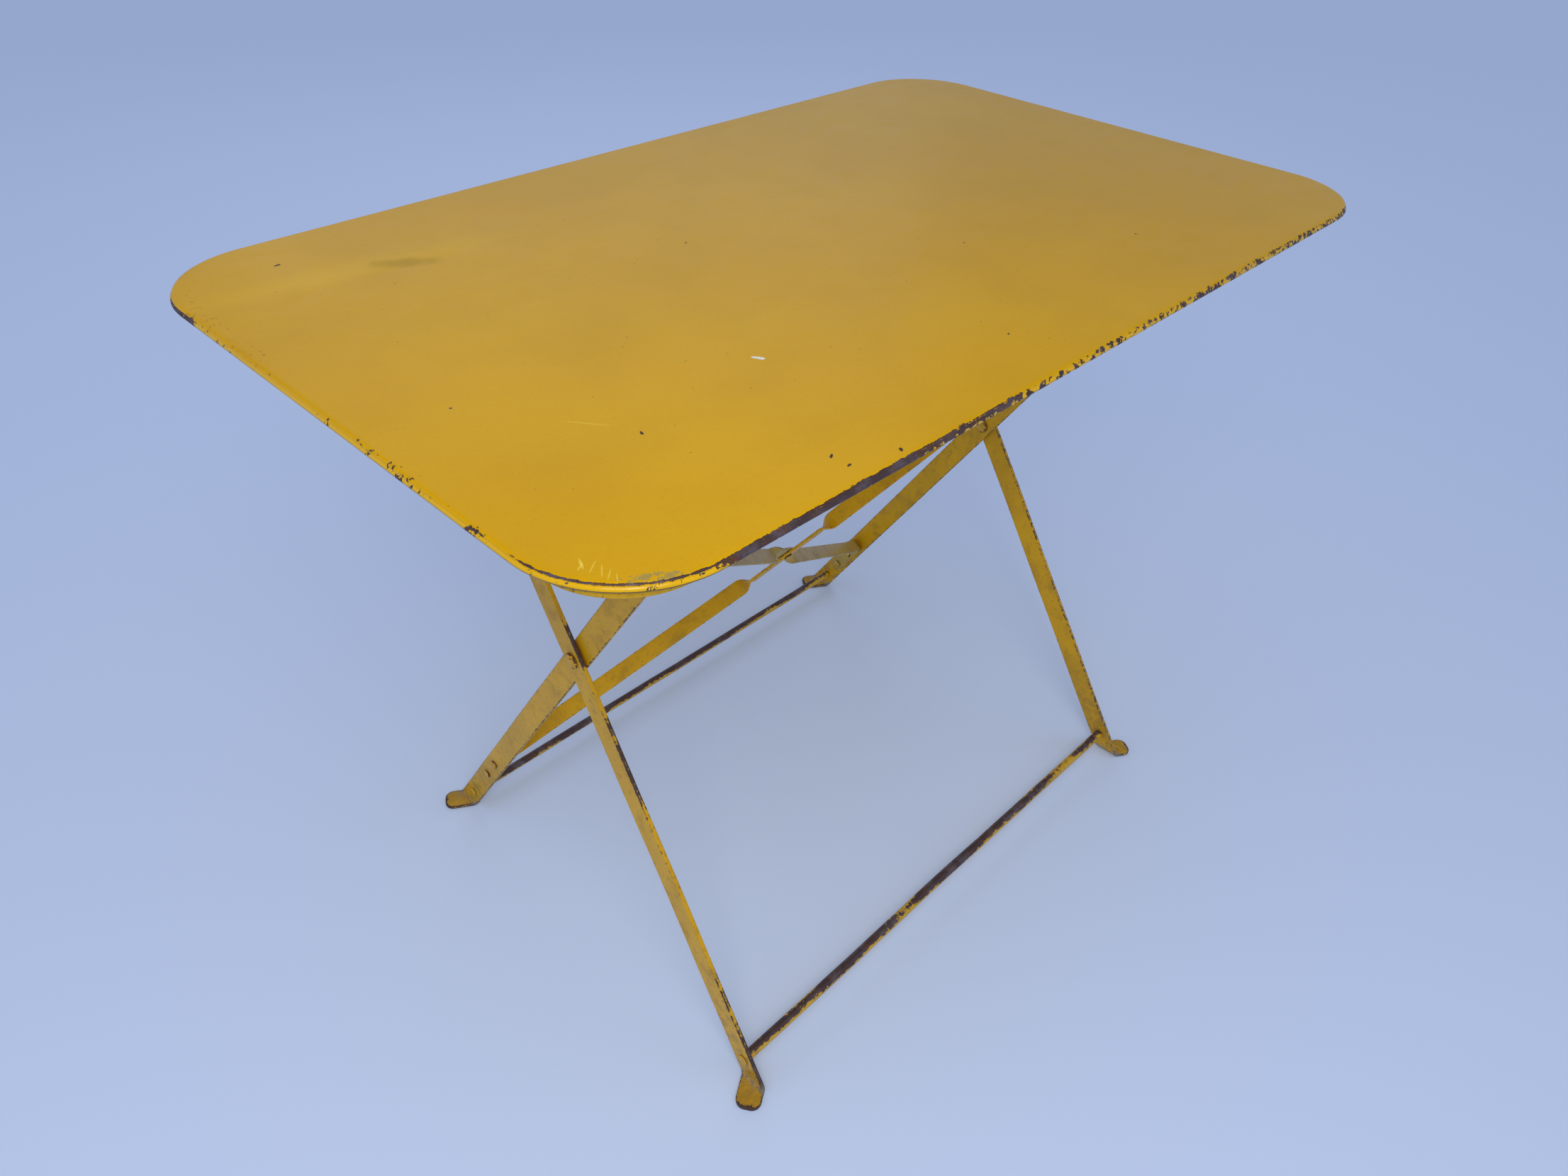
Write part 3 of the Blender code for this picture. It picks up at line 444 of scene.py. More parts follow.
# ------------------------------------------------------------ enamel of bars, rods and rivets
def bar_film(g, light, dark, grime, mid, fold):
    """Ochre film with grime, stains and specks, rubbed grey at the folds."""
    paint = g.noise(scale=9, detail=3, rough=0.6).rise(0.38, 0.64).pick_colour(light, dark)
    paint = paint.toward(grime, by=mid.rise(0.48, 0.72) * 0.55)
    mottle = g.noise(scale=520, detail=3, rough=0.7).rise(0.46, 0.74)
    paint = paint.toward(grime, by=mottle * 0.38)
    stain = g.noise(scale=85, detail=4, rough=0.7, warp=0.3).rise(0.56, 0.72)
    paint = paint.toward((0.17, 0.075, 0.018), by=stain * 0.40)
    specks = g.cells(scale=210).fall(0.10, 0.20) * g.noise(scale=70, detail=2).rise(0.46, 0.58)
    paint = paint.toward((0.09, 0.045, 0.018), by=specks * 0.70)
    soiled = g.z.fall(0.02, 0.16) * g.noise(scale=110, detail=4, rough=0.65).rise(0.42, 0.60)
    paint = paint.toward((0.235, 0.145, 0.045), by=soiled * 0.50)
    rubbed = fold * g.noise(scale=70, detail=3, rough=0.6).rise(0.34, 0.58)
    return paint.toward((0.350, 0.300, 0.205), by=rubbed * 0.72)


def thin_side_limit(g, thin, thin_wear, limit):
    """The wear limit, changed on the bar's narrow sides."""
    if thin_wear > 0.1:
        # rubbed bare in three stretches, keeping its paint between them
        crossing = g.z.rise(0.396, 0.408) * g.z.fall(0.434, 0.452)
        middle = g.z.rise(0.25, 0.30) * g.z.fall(0.350, 0.368)
        bared = crossing.most(middle).most(g.z.fall(0.095, 0.145))
        bared = bared * g.noise(scale=26, detail=3, rough=0.6).rise(0.30, 0.50)
        return limit + thin * bared.pick(off=0.115, on=-thin_wear)
    lower = thin * g.z.fall(0.38, 0.55).scaled(0.75, plus=0.25)
    return lower.scaled(-thin_wear, plus=limit)


def make_bar_paint(name, light, dark, grime, wear=0.0, thin_wear=0.0):
    """Enamel on flat bar: worn arrises, speckles, grime and rust stains."""
    g = Material(name)
    fine = g.noise(scale=260, detail=5, rough=0.62)
    mid = g.noise(scale=48, detail=5, rough=0.62)
    grain = g.noise(scale=1000, detail=3, rough=0.6)
    edge, thin, fold, pad, tip = map(g.attribute, ("edge", "thin", "fold", "pad", "tip"))
    paint = bar_film(g, light, dark, grime, mid, fold)

    broken = fine * 0.72 + grain * 0.28
    drift = g.noise(scale=22, detail=3, rough=0.6).scaled(-0.16, plus=0.08)
    limit = edge.scaled(-0.235, plus=0.735 - wear) + drift
    limit = thin_side_limit(g, thin, thin_wear, limit)
    for place_worn, lowering in ((fold, -0.15), (pad, -0.06), (tip, -0.20)):
        limit = place_worn.scaled(lowering, plus=limit)
    worn = broken.past(limit, soft=0.035)
    halo = broken.rise(limit - 0.05, limit + 0.02)
    paint = paint.toward((0.20, 0.095, 0.020), by=halo * 0.55)
    bare = bare_colour(g).toward((0.270, 0.235, 0.180), by=fold * 0.85)
    paint = paint.toward((0.30, 0.200, 0.050), by=pad * 0.35)
    orange = pad * 0.35 * g.noise(scale=150, detail=4, rough=0.6).rise(0.48, 0.62)
    paint = paint.toward((0.42, 0.190, 0.006), by=orange)

    rough = worn.pick(off=mid.scaled(0.30, plus=0.26), on=0.58)
    g.bump((1.0 - worn) * 0.10 + grain.scaled(0.012, plus=fine * 0.035))
    g.put(g.bsdf.inputs["Specular Tint"], (1.0, 0.86, 0.45))
    return g.finish(paint.toward(bare, by=worn), rough, metal=worn * 0.35)


def make_rod_paint(name, boundary, right_shift, left_shift=0.0, patchy=1.0):
    """Rod rubbed bare along its upper side, with ragged paint below.

    boundary is the level where bare steel starts, raised by the shifts toward each end."""
    g = Material(name)
    fine = g.noise(scale=210, detail=5, rough=0.65)
    grain = g.noise(scale=900, detail=3, rough=0.6)
    drag = g.noise(scale=60, detail=4, rough=0.6, at=g.place(scale=(0.22, 1.0, 1.0)))
    up, head = g.attribute("up"), g.attribute("head")
    paint = drag.rise(0.4, 0.65).pick_colour((0.62, 0.350, 0.004), (0.47, 0.255, 0.008))
    stain = g.noise(scale=120, detail=4, rough=0.6).rise(0.52, 0.68)
    paint = paint.toward((0.20, 0.090, 0.015), by=stain * 0.6)
    paint = paint.toward((0.62, 0.330, 0.006), by=head * 0.8)
    level = up + ((drag - 0.5) * 2.2 + (fine - 0.5) * 1.8)
    level = level + (g.noise(scale=8, detail=2, rough=0.5) - 0.5) * patchy
    limit = g.x.fall(-0.32, -0.12).scaled(left_shift, plus=boundary)
    limit = g.x.rise(0.02, 0.30).scaled(right_shift, plus=limit)
    limit = head.scaled(1.6, plus=limit)
    worn = level.past(limit, soft=0.16)
    rough = worn.pick(off=0.40, on=fine.scaled(0.25, plus=0.34))
    g.bump((1.0 - worn) * 0.12 + grain.scaled(0.02, plus=fine * 0.07))
    return g.finish(paint.toward(bare_colour(g), by=worn), rough, metal=worn * 0.45)


def make_rivet_paint(name, paintedness):
    g = Material(name)
    fine = g.noise(scale=330, detail=5, rough=0.62)
    shade = g.noise(scale=90, detail=3).rise(0.4, 0.62)
    paint = shade.pick_colour((0.66, 0.350, 0.004), (0.52, 0.275, 0.010))
    uneven = (g.noise(scale=110, detail=3) - 0.5) * 0.4
    level = g.attribute("rim") * 0.33 + (fine + uneven)
    worn = level.past(paintedness, soft=0.06)
    rust = g.noise(scale=260, detail=4, rough=0.65).rise(0.42, 0.62).pick_colour(RUST, RUST_DARK)
    rust = rust.toward(BARE_COOL, by=g.noise(scale=140, detail=3).rise(0.55, 0.7))
    g.bump((1.0 - worn) * 0.10 + fine * 0.10)
    return g.finish(paint.toward(rust, by=worn), worn.pick(off=0.42, on=0.72),
                    metal=worn * 0.25)


TOP_PAINT = make_top_paint()
HOOP_PAINT = make_bar_paint(
    "hoop_enamel", light=(0.74, 0.41, 0.0), dark=(0.62, 0.335, 0.0),
    grime=(0.46, 0.235, 0.006), wear=-0.10)
OCHRE = {"light": (0.72, 0.378, 0.002), "dark": (0.60, 0.315, 0.006)}
LEG_GRIME = (0.38, 0.195, 0.018)
LEG_PAINT = make_bar_paint("leg_enamel", **OCHRE, grime=LEG_GRIME, thin_wear=0.06)
LEFT_OUTER_LEG_PAINT = make_bar_paint(
    "front_leg_enamel", **OCHRE, grime=LEG_GRIME, thin_wear=0.23)
BRACE_PAINT = make_bar_paint("brace_enamel", **OCHRE, grime=(0.40, 0.210, 0.018), wear=-0.04)
# painted reflection: brace 2's ochre is greyed for the sky its blade reflects
SKY_GREYED_BRACE_PAINT = make_bar_paint(
    "sky_reflection_brace_enamel", light=(0.50, 0.340, 0.070), dark=(0.40, 0.275, 0.080),
    grime=(0.26, 0.180, 0.075), wear=-0.03)
UNDER_PAINT = make_bar_paint(
    "underside_enamel", light=(0.50, 0.265, 0.006), dark=(0.38, 0.200, 0.012),
    grime=(0.25, 0.125, 0.024), wear=-0.135)
OUTER_FOOT_ROD_PAINT = make_rod_paint(
    "foot_rod_worn", boundary=0.18, right_shift=0.75, left_shift=0.40, patchy=2.2)
INNER_FOOT_ROD_PAINT = make_rod_paint(
    "foot_rod_rubbed", boundary=0.08, right_shift=0.45, left_shift=0.15, patchy=0.8)
TOP_ROD_PAINT = make_rod_paint("top_rod_rubbed", boundary=0.10, right_shift=0.0)
RIVET_PAINTED = make_rivet_paint("rivet_painted", paintedness=0.70)
RIVET_RUSTY = make_rivet_paint("rivet_rusted", paintedness=0.46)


# ------------------------------------------------------------ mesh building
WELD = 3e-6


def assemble(name, patches, material, body, node):
    """One closed mesh from welded patches of quads, riding on a body.

    A patch is (grid of points, whether its rows wrap round, attribute values); the values
    broadcast over the grid."""
    keys = sorted({key for _, _, values in patches for key in values})
    verts, faces, columns, base = [], [], {key: [] for key in keys}, 0
    for points, wrap, values in patches:
        n, m = points.shape[:2]
        index = base + np.arange(n * m).reshape(n, m)
        if wrap:
            index = np.concatenate([index, index[:, :1]], axis=1)
        quads = np.stack([index[:-1, :-1], index[:-1, 1:], index[1:, 1:], index[1:, :-1]],
                         axis=-1)
        faces.append(quads.reshape(-1, 4))
        verts.append(points.reshape(-1, 3))
        for key in keys:
            columns[key].append(np.broadcast_to(values.get(key, 0.0), (n, m)).reshape(-1))
        base += n * m
    mesh = bpy.data.meshes.new(name)
    mesh.from_pydata(np.concatenate(verts).tolist(), [], np.concatenate(faces).tolist())
    for key in keys:
        layer = mesh.attributes.new(key, "FLOAT", "POINT")
        layer.data.foreach_set("value", np.concatenate(columns[key]).astype(np.float32))
    bm = bmesh.new()
    bm.from_mesh(mesh)
    bmesh.ops.remove_doubles(bm, verts=bm.verts, dist=WELD)
    bmesh.ops.dissolve_degenerate(bm, edges=bm.edges, dist=1e-7)
    bmesh.ops.recalc_face_normals(bm, faces=bm.faces)
    if bm.calc_volume(signed=True) < 0:
        bmesh.ops.reverse_faces(bm, faces=bm.faces)
    bm.to_mesh(mesh)
    bm.free()
    add_piece(name, mesh, material, body, node)


def add_piece(name, mesh, material, body, node):
    piece = bpy.data.objects.new(name, mesh)
    bpy.context.scene.collection.objects.link(piece)
    mesh.materials.append(material)
    mesh.shade_smooth()
    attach(piece, body)
    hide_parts(node)


def smooth01(t):
    t = np.clip(t, 0.0, 1.0)
    return t * t * (3 - 2 * t)


def unit(v):
    v = np.asarray(v, float)
    return v / np.linalg.norm(v)


def column(values):
    return np.array(values, float)[:, None]


def rounded_rectangle(length, width, radius, inset, long_steps=64, short_steps=40, arc_steps=24):
    """Points round a rounded rectangle, set in from its outer line."""
    radius = max(radius - inset, 0.0005)
    reach_x, reach_y = length / 2 - inset - radius, width / 2 - inset - radius
    # corner signs in x and y, start angle of its arc, steps of the side after it
    corners = ((1, 1, 0, long_steps), (-1, 1, 90, short_steps),
               (-1, -1, 180, long_steps), (1, -1, 270, short_steps))

    def on_arc(corner, degrees):
        a = math.radians(corner[2] + degrees)
        return (corner[0] * reach_x + radius * math.cos(a),
                corner[1] * reach_y + radius * math.sin(a))

    points = []
    for k, corner in enumerate(corners):
        points += [on_arc(corner, 90 * i / arc_steps) for i in range(arc_steps + 1)]
        begin, end = points[-1], on_arc(corners[(k + 1) % 4], 0)
        steps = corner[3]
        for i in range(1, steps):
            t = i / steps
            points.append((begin[0] + (end[0] - begin[0]) * t,
                           begin[1] + (end[1] - begin[1]) * t))
    return np.array(points)


# ------------------------------------------------------------ the table top
# Upper side of the rim, from the flat outward: inset, height from the top, crest, bead.
RIM_PROFILE = [
    (0.0300, 0.0, 0.0, 0.0), (0.0180, 0.0, 0.0, 0.0), (0.0110, 0.0, 0.0, 0.0),
    (0.0070, 0.0, 0.0, 0.0), (0.0052, -0.00003, 0.0, 0.0), (0.0040, -0.00010, 0.0, 0.0),
    (0.0032, -0.00022, 0.15, 0.0), (0.0026, -0.00040, 0.60, 0.0),
    (0.0022, -0.00060, 1.0, 0.0), (0.0018, -0.00090, 1.0, 0.0),
    (0.0015, -0.00125, 0.75, 0.15), (0.00135, -0.00155, 0.30, 0.4),
    (0.00130, -0.00180, 0.15, 0.6),
]
# Under side of the rim, from the bead inward, in the same columns.
UNDER_PROFILE = [
    (0.0043, -0.0022, 0.0, 0.2), (0.0052, -0.00135, 0.0, 0.0), (0.0075, -SHEET_T, 0.0, 0.0),
    (0.0300, -SHEET_T, 0.0, 0.0),
]
BEAD_Z = -0.0043                    # bead centre, from the top
BEAD_START, BEAD_SWEEP = 62, 290    # degrees
BEAD_STEPS = 22
UPPER_BEAD_POINTS = 12              # bead points that count as the upper side
FLAT_STEPS = 26                     # rings from the small middle rings to the rim
NEAR_REACH = 0.022                  # where the "near the rim" attribute fades out


def sheet_wave(x, y):
    """Slight unevenness of the rolled sheet, fading out at its rim."""
    fade = smooth01((LENGTH / 2 - np.abs(x)) / 0.10) * smooth01((WIDTH / 2 - np.abs(y)) / 0.09)
    wave = (np.sin(5.3 * x + 1.1) * np.cos(7.9 * y + 0.4)
            + 0.55 * np.sin(12.0 * x - 4.0 * y + 2.0) + 0.45 * np.cos(5.0 * x + 15.0 * y))
    return 0.00028 * wave * fade


def build_top():
    bead = []
    for k in range(BEAD_STEPS + 1):
        a = math.radians(BEAD_START - BEAD_SWEEP * k / BEAD_STEPS)
        bead.append((BEAD_R - BEAD_R * math.cos(a), BEAD_Z + BEAD_R * math.sin(a), 0.0, 1.0))
    rim = RIM_PROFILE + bead + UNDER_PROFILE
    flat_inset = RIM_PROFILE[0][0]
    flat_edge = rounded_rectangle(LENGTH, WIDTH, CORNER_R, flat_inset)
    scales = [0.0, 0.02, 0.06]
    scales += [0.06 + 0.94 * ((k + 1) / FLAT_STEPS) for k in range(FLAT_STEPS - 1)]

    outlines = [flat_edge * s for s in scales]
    outlines += [rounded_rectangle(LENGTH, WIDTH, CORNER_R, row[0]) for row in rim]
    outlines += [flat_edge * s for s in reversed(scales)]
    rows = ([(flat_inset, 0.0, 0.0, 0.0)] * len(scales) + rim
            + [(flat_inset, -SHEET_T, 0.0, 0.0)] * len(scales))
    inset, drop, crest, bead_mark = np.array(rows).T
    rings = [np.column_stack([xy, RISE + dz + sheet_wave(xy[:, 0], xy[:, 1])])
             for xy, dz in zip(outlines, drop)]
    upper_count = len(scales) + len(RIM_PROFILE) + UPPER_BEAD_POINTS
    attributes = {
        "crest": column(crest), "bead": column(bead_mark),
        "near": column(np.maximum(0.0, 1.0 - inset / NEAR_REACH)),
        "low": column(np.clip((-drop - 0.0030) / 0.0036, 0.0, 1.0)),
        "upper": column(np.arange(len(rings)) < upper_count),
    }
    assemble("tabletop", [(np.stack(rings), True, attributes)],
             TOP_PAINT, "top", "top_sheet")


def build_hoop():
    """The flat bar bent into a hoop under the top."""
    length, width = hoop_high.x - hoop_low.x, hoop_high.y - hoop_low.y
    z0, z1 = hoop_low.z, hoop_high.z
    r, steps, flat_margin = 0.0008, 3, 0.0030

    def arris(inset, z, start):
        turn = [math.radians(start + 90 * i / steps) for i in range(steps + 1)]
        return [(inset + r * math.cos(a), z + r * math.sin(a), 1.0) for a in turn]

    flat = (flat_margin, HOOP_BAR_W / 2, HOOP_BAR_W - flat_margin)
    # section round the bar: inset, z, edge mark
    section = arris(r, z1 - r, 90) + arris(r, z0 + r, 180)
    section += [(inset, z0, 0.0) for inset in flat]
    section += arris(HOOP_BAR_W - r, z0 + r, 270) + arris(HOOP_BAR_W - r, z1 - r, 360)
    section += [(inset, z1, 0.0) for inset in reversed(flat)]
    section.append(section[0])
    rings = []
    for inset, z, _ in section:
        xy = rounded_rectangle(length, width, HOOP_R, inset)
        rings.append(np.column_stack([xy, np.full(len(xy), z)]))
    edge = column([mark for _, _, mark in section])
    assemble("rim_hoop_bar", [(np.stack(rings), True, {"edge": edge})],
             HOOP_PAINT, "top", "rim_hoop")


# ------------------------------------------------------------ flat bars
# Places of the points across a bar's face, as fractions of its half width.
ACROSS = np.array([-1, -0.972, -0.90, -0.72, -0.48, -0.24, 0,
                   0.24, 0.48, 0.72, 0.90, 0.972, 1])
ARRIS_STEPS = 3
# Attributes of the side wall's points, from one face to the other.
WALL_EDGE = np.array([0.75, 1.0, 1.0, 0.85, 0.35, 0.85, 1.0, 1.0, 0.75])
WALL_THIN = np.array([0.0, 0.3, 0.7, 1.0, 1.0, 1.0, 0.7, 0.3, 0.0])


def flat_bar(rows, thick, arris):
    """Patches of a flat bar with rounded arrises, in (along, across, through).

    rows: (along, half width, outline normal along, outline normal across), starting
    at a pointed or round end."""
    outline = np.array(rows, float)
    along, half, normal_along, normal_across = outline.T
    face_along = along - arris * normal_along
    face_half = np.maximum(half - arris * normal_across, 0.0)
    b = face_half[:, None] * ACROSS[None, :]
    a = np.broadcast_to(face_along[:, None], b.shape)
    end_reach = np.minimum(np.abs(a - face_along[0]), np.abs(a - face_along[-1])) + 1e-9
    reach = np.minimum(face_half[:, None] - np.abs(b), end_reach)
    edge = np.clip(0.75 * (1 - reach / 0.0016), 0, 0.75)
    patches = [(np.stack([a, b, np.full_like(b, sign * thick / 2)], -1), False, {"edge": edge})
               for sign in (1, -1)]

    # a straight end keeps the face's spacing, so its points meet the face
    end = []
    if half[-1] > 1e-9:
        end = [[along[-1], half[-1] * s, normal_along[-1], 0.0] for s in ACROSS[::-1][1:-1]]
    back = outline[::-1] * [1, -1, 1, -1]
    loop = np.concatenate([outline, np.reshape(end, (-1, 4)), back])
    loop = np.concatenate([loop, loop[:1]])
    q = np.linspace(0, 1, ARRIS_STEPS + 1) * math.pi / 2
    inset = arris * (1 - np.sin(q))
    depth = thick / 2 - arris * (1 - np.cos(q))
    insets = np.concatenate([inset, [0.0], inset[::-1]])
    depths = np.concatenate([depth, [0.0], -depth[::-1]])
    wall_a = loop[:, :1] - insets * loop[:, 2:3]
    wall_b = loop[:, 1:2] - insets * loop[:, 3:4]
    wall = np.stack([wall_a, wall_b, np.broadcast_to(depths, wall_a.shape)], -1)
    patches.append((wall, False, {"edge": WALL_EDGE, "thin": WALL_THIN}))
    return patches


def end_rows(at, half, radius, way, steps):
    """Rows of an end with rounded corners, from its tip to the full width."""
    rows = []
    for i in range(steps + 1):
        t = math.pi / 2 * i / steps
        rows.append((at - way * radius * (1 - math.cos(t)),
                     half - radius + radius * math.sin(t), way * math.cos(t), math.sin(t)))
    return rows


def bend_patches(patches, bend):
    """Patches moved by bend, which returns new points and further attributes."""
    bent = []
    for points, wrap, values in patches:
        moved, extra = bend(points)
        bent.append((moved, wrap, {**values, **extra}))
    return bent


# ------------------------------------------------------------ legs
def leg_axes(side, top_side):
    """A leg's directions along (upward) and across its face."""
    along = np.array([-side * math.sin(LEAN), top_side * SIN_A * math.cos(LEAN),
                      COS_A * math.cos(LEAN)])
    return along, np.array([0.0, COS_A, -top_side * SIN_A])


def build_leg(kind, tag, side, end_z, pad_side, material, seed):
    """A leg with a round top end and a foot pad folded flat toward pad_side in X."""
    plane_x, top_side = FRAMES[kind]
    along, across = leg_axes(side, top_side)
    through = np.cross(across, along)
    origin = np.array([side * plane_x, 0.0, CROSS_Z])
    fold_a = -(CROSS_Z - LEG_T / 2) / along[2]
    corner = origin + along * fold_a
    fold_line = unit(along * (-across[2]) + across * along[2])    # level, in the bar's face
    if fold_line[1] < 0:
        fold_line = -fold_line
    upward = unit(along - fold_line * np.dot(along, fold_line))
    inside = through if through[0] * pad_side > 0 else -through
    through_sign = float(np.dot(through, inside))
    pad_way = unit(np.array([fold_line[1], -fold_line[0], 0.0]))
    if pad_way[0] * pad_side < 0:
        pad_way = -pad_way
    fold_angle = math.acos(float(np.dot(-upward, pad_way)))
    tangent = FOLD_R * math.tan(fold_angle / 2)
    arc = FOLD_R * fold_angle
    half = LEG_W / 2
    high = (end_z - CROSS_Z) / COS_A + half
    tip = fold_a - (PAD_LENGTH - (2 * tangent - arc) / COS_A)

    # coarse rows down the shaft, fine ones round the fold, then the pad
    rows = end_rows(high, half, half, +1, steps=10)
    start, stop = high - half, fold_a + 0.020
    count = int((start - stop) / 0.009)
    rows += [(start + (stop - start) * i / count, half, 0.0, 1.0) for i in range(1, count + 1)]
    rows += [(stop - 0.0011 * i, half, 0.0, 1.0) for i in range(1, 36)]
    last, low = rows[-1][0], tip + PAD_TIP_R
    count = max(1, int((last - low) / 0.002))
    rows += [(last + (low - last) * i / count, half, 0.0, 1.0) for i in range(1, count)]
    rows += reversed(end_rows(tip, half, PAD_TIP_R, -1, steps=6))

    def bend(p):
        a, b, t = p[..., 0], p[..., 1], p[..., 2]
        # a faint bow and a hammered unevenness of the old bar
        bow = 0.00045 * np.sin(a * 7.1 + seed) + 0.00022 * np.sin(a * 31.0 + 2.3 * seed)
        wobble = bow * (smooth01((a - fold_a - 0.02) / 0.05) * smooth01((high - a) / 0.08))
        flat = (a - fold_a)[..., None] * along + b[..., None] * across
        past_start = tangent - flat @ upward
        beta = np.clip(past_start / FOLD_R, 0.0, fold_angle)[..., None]
        centre = corner + upward * tangent + inside * FOLD_R
        normal = inside * np.cos(beta) + upward * np.sin(beta)
        above = np.maximum(-past_start, 0.0)[..., None]
        below = np.maximum(past_start - arc, 0.0)[..., None]
        out = (centre - normal * FOLD_R + upward * above + pad_way * below
               + fold_line * (flat @ fold_line)[..., None])
        out = out + normal * ((t * through_sign) + wobble)[..., None]
        return out, {"fold": np.exp(-((past_start - arc / 2) / 0.0062) ** 2),
                     "pad": smooth01(past_start / 0.004),
                     "tip": 1.0 - smooth01((a - tip - 0.0015) / 0.0050)}

    patches = bend_patches(flat_bar(rows, LEG_T, arris=0.0008), bend)
    assemble(f"{kind}_leg_bar_{tag}", patches, material, kind + "_frame",
             f"{kind}_leg_{tag}")


# ------------------------------------------------------------ turned pieces
def lathe(name, node, profile, rims, matrix, material, body, segments,
          hammered=0.0, seed=0.0):
    """A closed turned piece about the matrix's Z; profile is (radius, height)."""
    profile = np.array(profile, float)
    turn = np.linspace(0, 2 * math.pi, segments, endpoint=False)
    ripple = 1 + hammered * (0.6 * np.sin(2 * turn + seed) + 0.4 * np.sin(5 * turn + 1.7 * seed))
    radius = profile[:, :1] * ripple
    local = np.stack([radius * np.cos(turn), radius * np.sin(turn),
                      np.broadcast_to(profile[:, 1:], radius.shape)], -1)
    m = np.array(matrix)
    points = local @ m[:3, :3].T + m[:3, 3]
    assemble(name, [(points, True, {"rim": column(rims)})], material, body, node)


def along_x(y, z, side):
    """Local Z turned outward along X, for the left or right side."""
    return Matrix.Translation((0, y, z)) @ Matrix.Rotation(side * math.pi / 2, 4, "Y")


def dome(radius, height, base, steps=7, lip=0.0003):
    """Rivet head from its crown to its base, with a small rolled lip."""
    points = [(radius * math.sin(a), base + lip + (height - lip) * math.cos(a))
              for a in (math.pi / 2 * i / steps for i in range(steps + 1))]
    points.append((radius * 0.985, base))
    return points


def headed_pin(name, node, matrix, radius, height, top_seat, low_seat, shank, material, body,
               seed, segments=26, hammered=0.035, shank_rim=1.0):
    """A pin with equal heads on both seats; shank is the profile between them."""
    head = dome(radius, height, top_seat)
    tail = [(r, low_seat - (z - top_seat)) for r, z in reversed(head)]
    rims = [min(1.0, (r / radius) ** 3) for r, _ in head]
    lathe(name, node, head + shank + tail, rims + [shank_rim] * len(shank) + rims[::-1],
          matrix, material, body, segments, hammered, seed)


def rivet(name, node, matrix, shank_r, top_seat, low_seat, **options):
    headed_pin(name, node, matrix, top_seat=top_seat, low_seat=low_seat,
               shank=[(shank_r, top_seat), (shank_r, low_seat)], **options)


def build_rod(kind, place, radius, tenon, z, material, seed):
    """A slightly bent rod between the legs, its tenons riveted through them."""
    plane_x, top_side = FRAMES[kind]
    y = leg_y(z, top_side)
    leg_mid = leg_x(z, plane_x)
    shoulder = leg_mid - LEG_T / 2 - RIVET_GAP
    seat = leg_mid + LEG_T / 2 + RIVET_GAP
    end = dome(tenon + 0.0026, 0.0013, seat, steps=6)
    end += [(tenon, seat), (tenon, shoulder), (radius - 0.0005, shoulder)]
    stations = np.linspace(shoulder - 0.0008, -shoulder + 0.0008, 150)
    profile = np.array(end + [(radius, x) for x in stations] + [(r, -x) for r, x in end[::-1]])
    turn = np.linspace(0, 2 * math.pi, 24, endpoint=False)
    x = profile[:, 1:]
    span = np.clip(1 - (x / shoulder) ** 2, 0, 1)
    dy = span * (0.0006 * np.sin(9 * x + seed) + 0.0003 * np.sin(23 * x + 2 * seed))
    dz = span * (0.0005 * np.sin(7 * x + 1.9 * seed) + 0.00025 * np.sin(31 * x + seed))
    uneven = 1 + 0.025 * np.sin(70 * x + 3 * seed) * np.cos(turn + 11 * x + seed) * span
    r = profile[:, :1] * uneven
    points = np.stack([np.broadcast_to(x, r.shape), y + dy + r * np.cos(turn),
                       z + dz + r * np.sin(turn)], -1)
    attributes = {"up": np.sin(turn), "head": (np.abs(x) > shoulder + LEG_T / 2).astype(float)}
    node = f"{kind}_{place}_rod"
    assemble(node + "_bar", [(points, True, attributes)], material, kind + "_frame", node)


# ------------------------------------------------------------ the braces
# The braces lie in the plane of the inner frame, whose coordinates are x and v: v runs up
# the legs from the crossing. Both are turned edge-on at the legs and twist flat to cross.
BRACE_W, BRACE_T = 0.0190, 0.0030
BRACE_TAB = 0.078                   # tab riveted to the leg, beyond the fold
BRACE_CROSS = (0.015, -0.0895)
BRACE_RIVETS = (0.031, 0.066)       # from the fold along the tab
BRACE_FOLD = 0.008                  # reach of the rounded fold to each side
BRACE_GAP = 0.0003
INNER_ALONG = np.array([0.0, -SIN_A, COS_A])
INNER_NORMAL = np.cross([1.0, 0.0, 0.0], INNER_ALONG)
CROSS_POINT = np.array([0.0, 0.0, CROSS_Z])

# low_side: side of X of the low end; low, high: v of the folds; flat, twist: distance from
# the braces' crossing where the twist ends and begins; layer: which lies on top; bow: sag.
Brace = namedtuple("Brace", "number low_side low high flat twist layer bow paint")
BRACES = (
    Brace(number=1, low_side=-1, low=-0.306, high=0.2175, flat=0.048, twist=0.070,
          layer=+1, bow=0.0008, paint=BRACE_PAINT),
    # brace 2 wears the paint greyed with a painted reflection of the sky
    Brace(number=2, low_side=+1, low=-0.343, high=0.202, flat=0.028, twist=0.055,
          layer=-1, bow=0.0060, paint=SKY_GREYED_BRACE_PAINT),
)


def on_inner_leg(side, v):
    """Brace centre line where it lies against an inner leg."""
    face_x = INNER_X - LEG_T / 2 - v * math.tan(LEAN)
    return np.array([side * (face_x - (BRACE_GAP + BRACE_T / 2)), v])


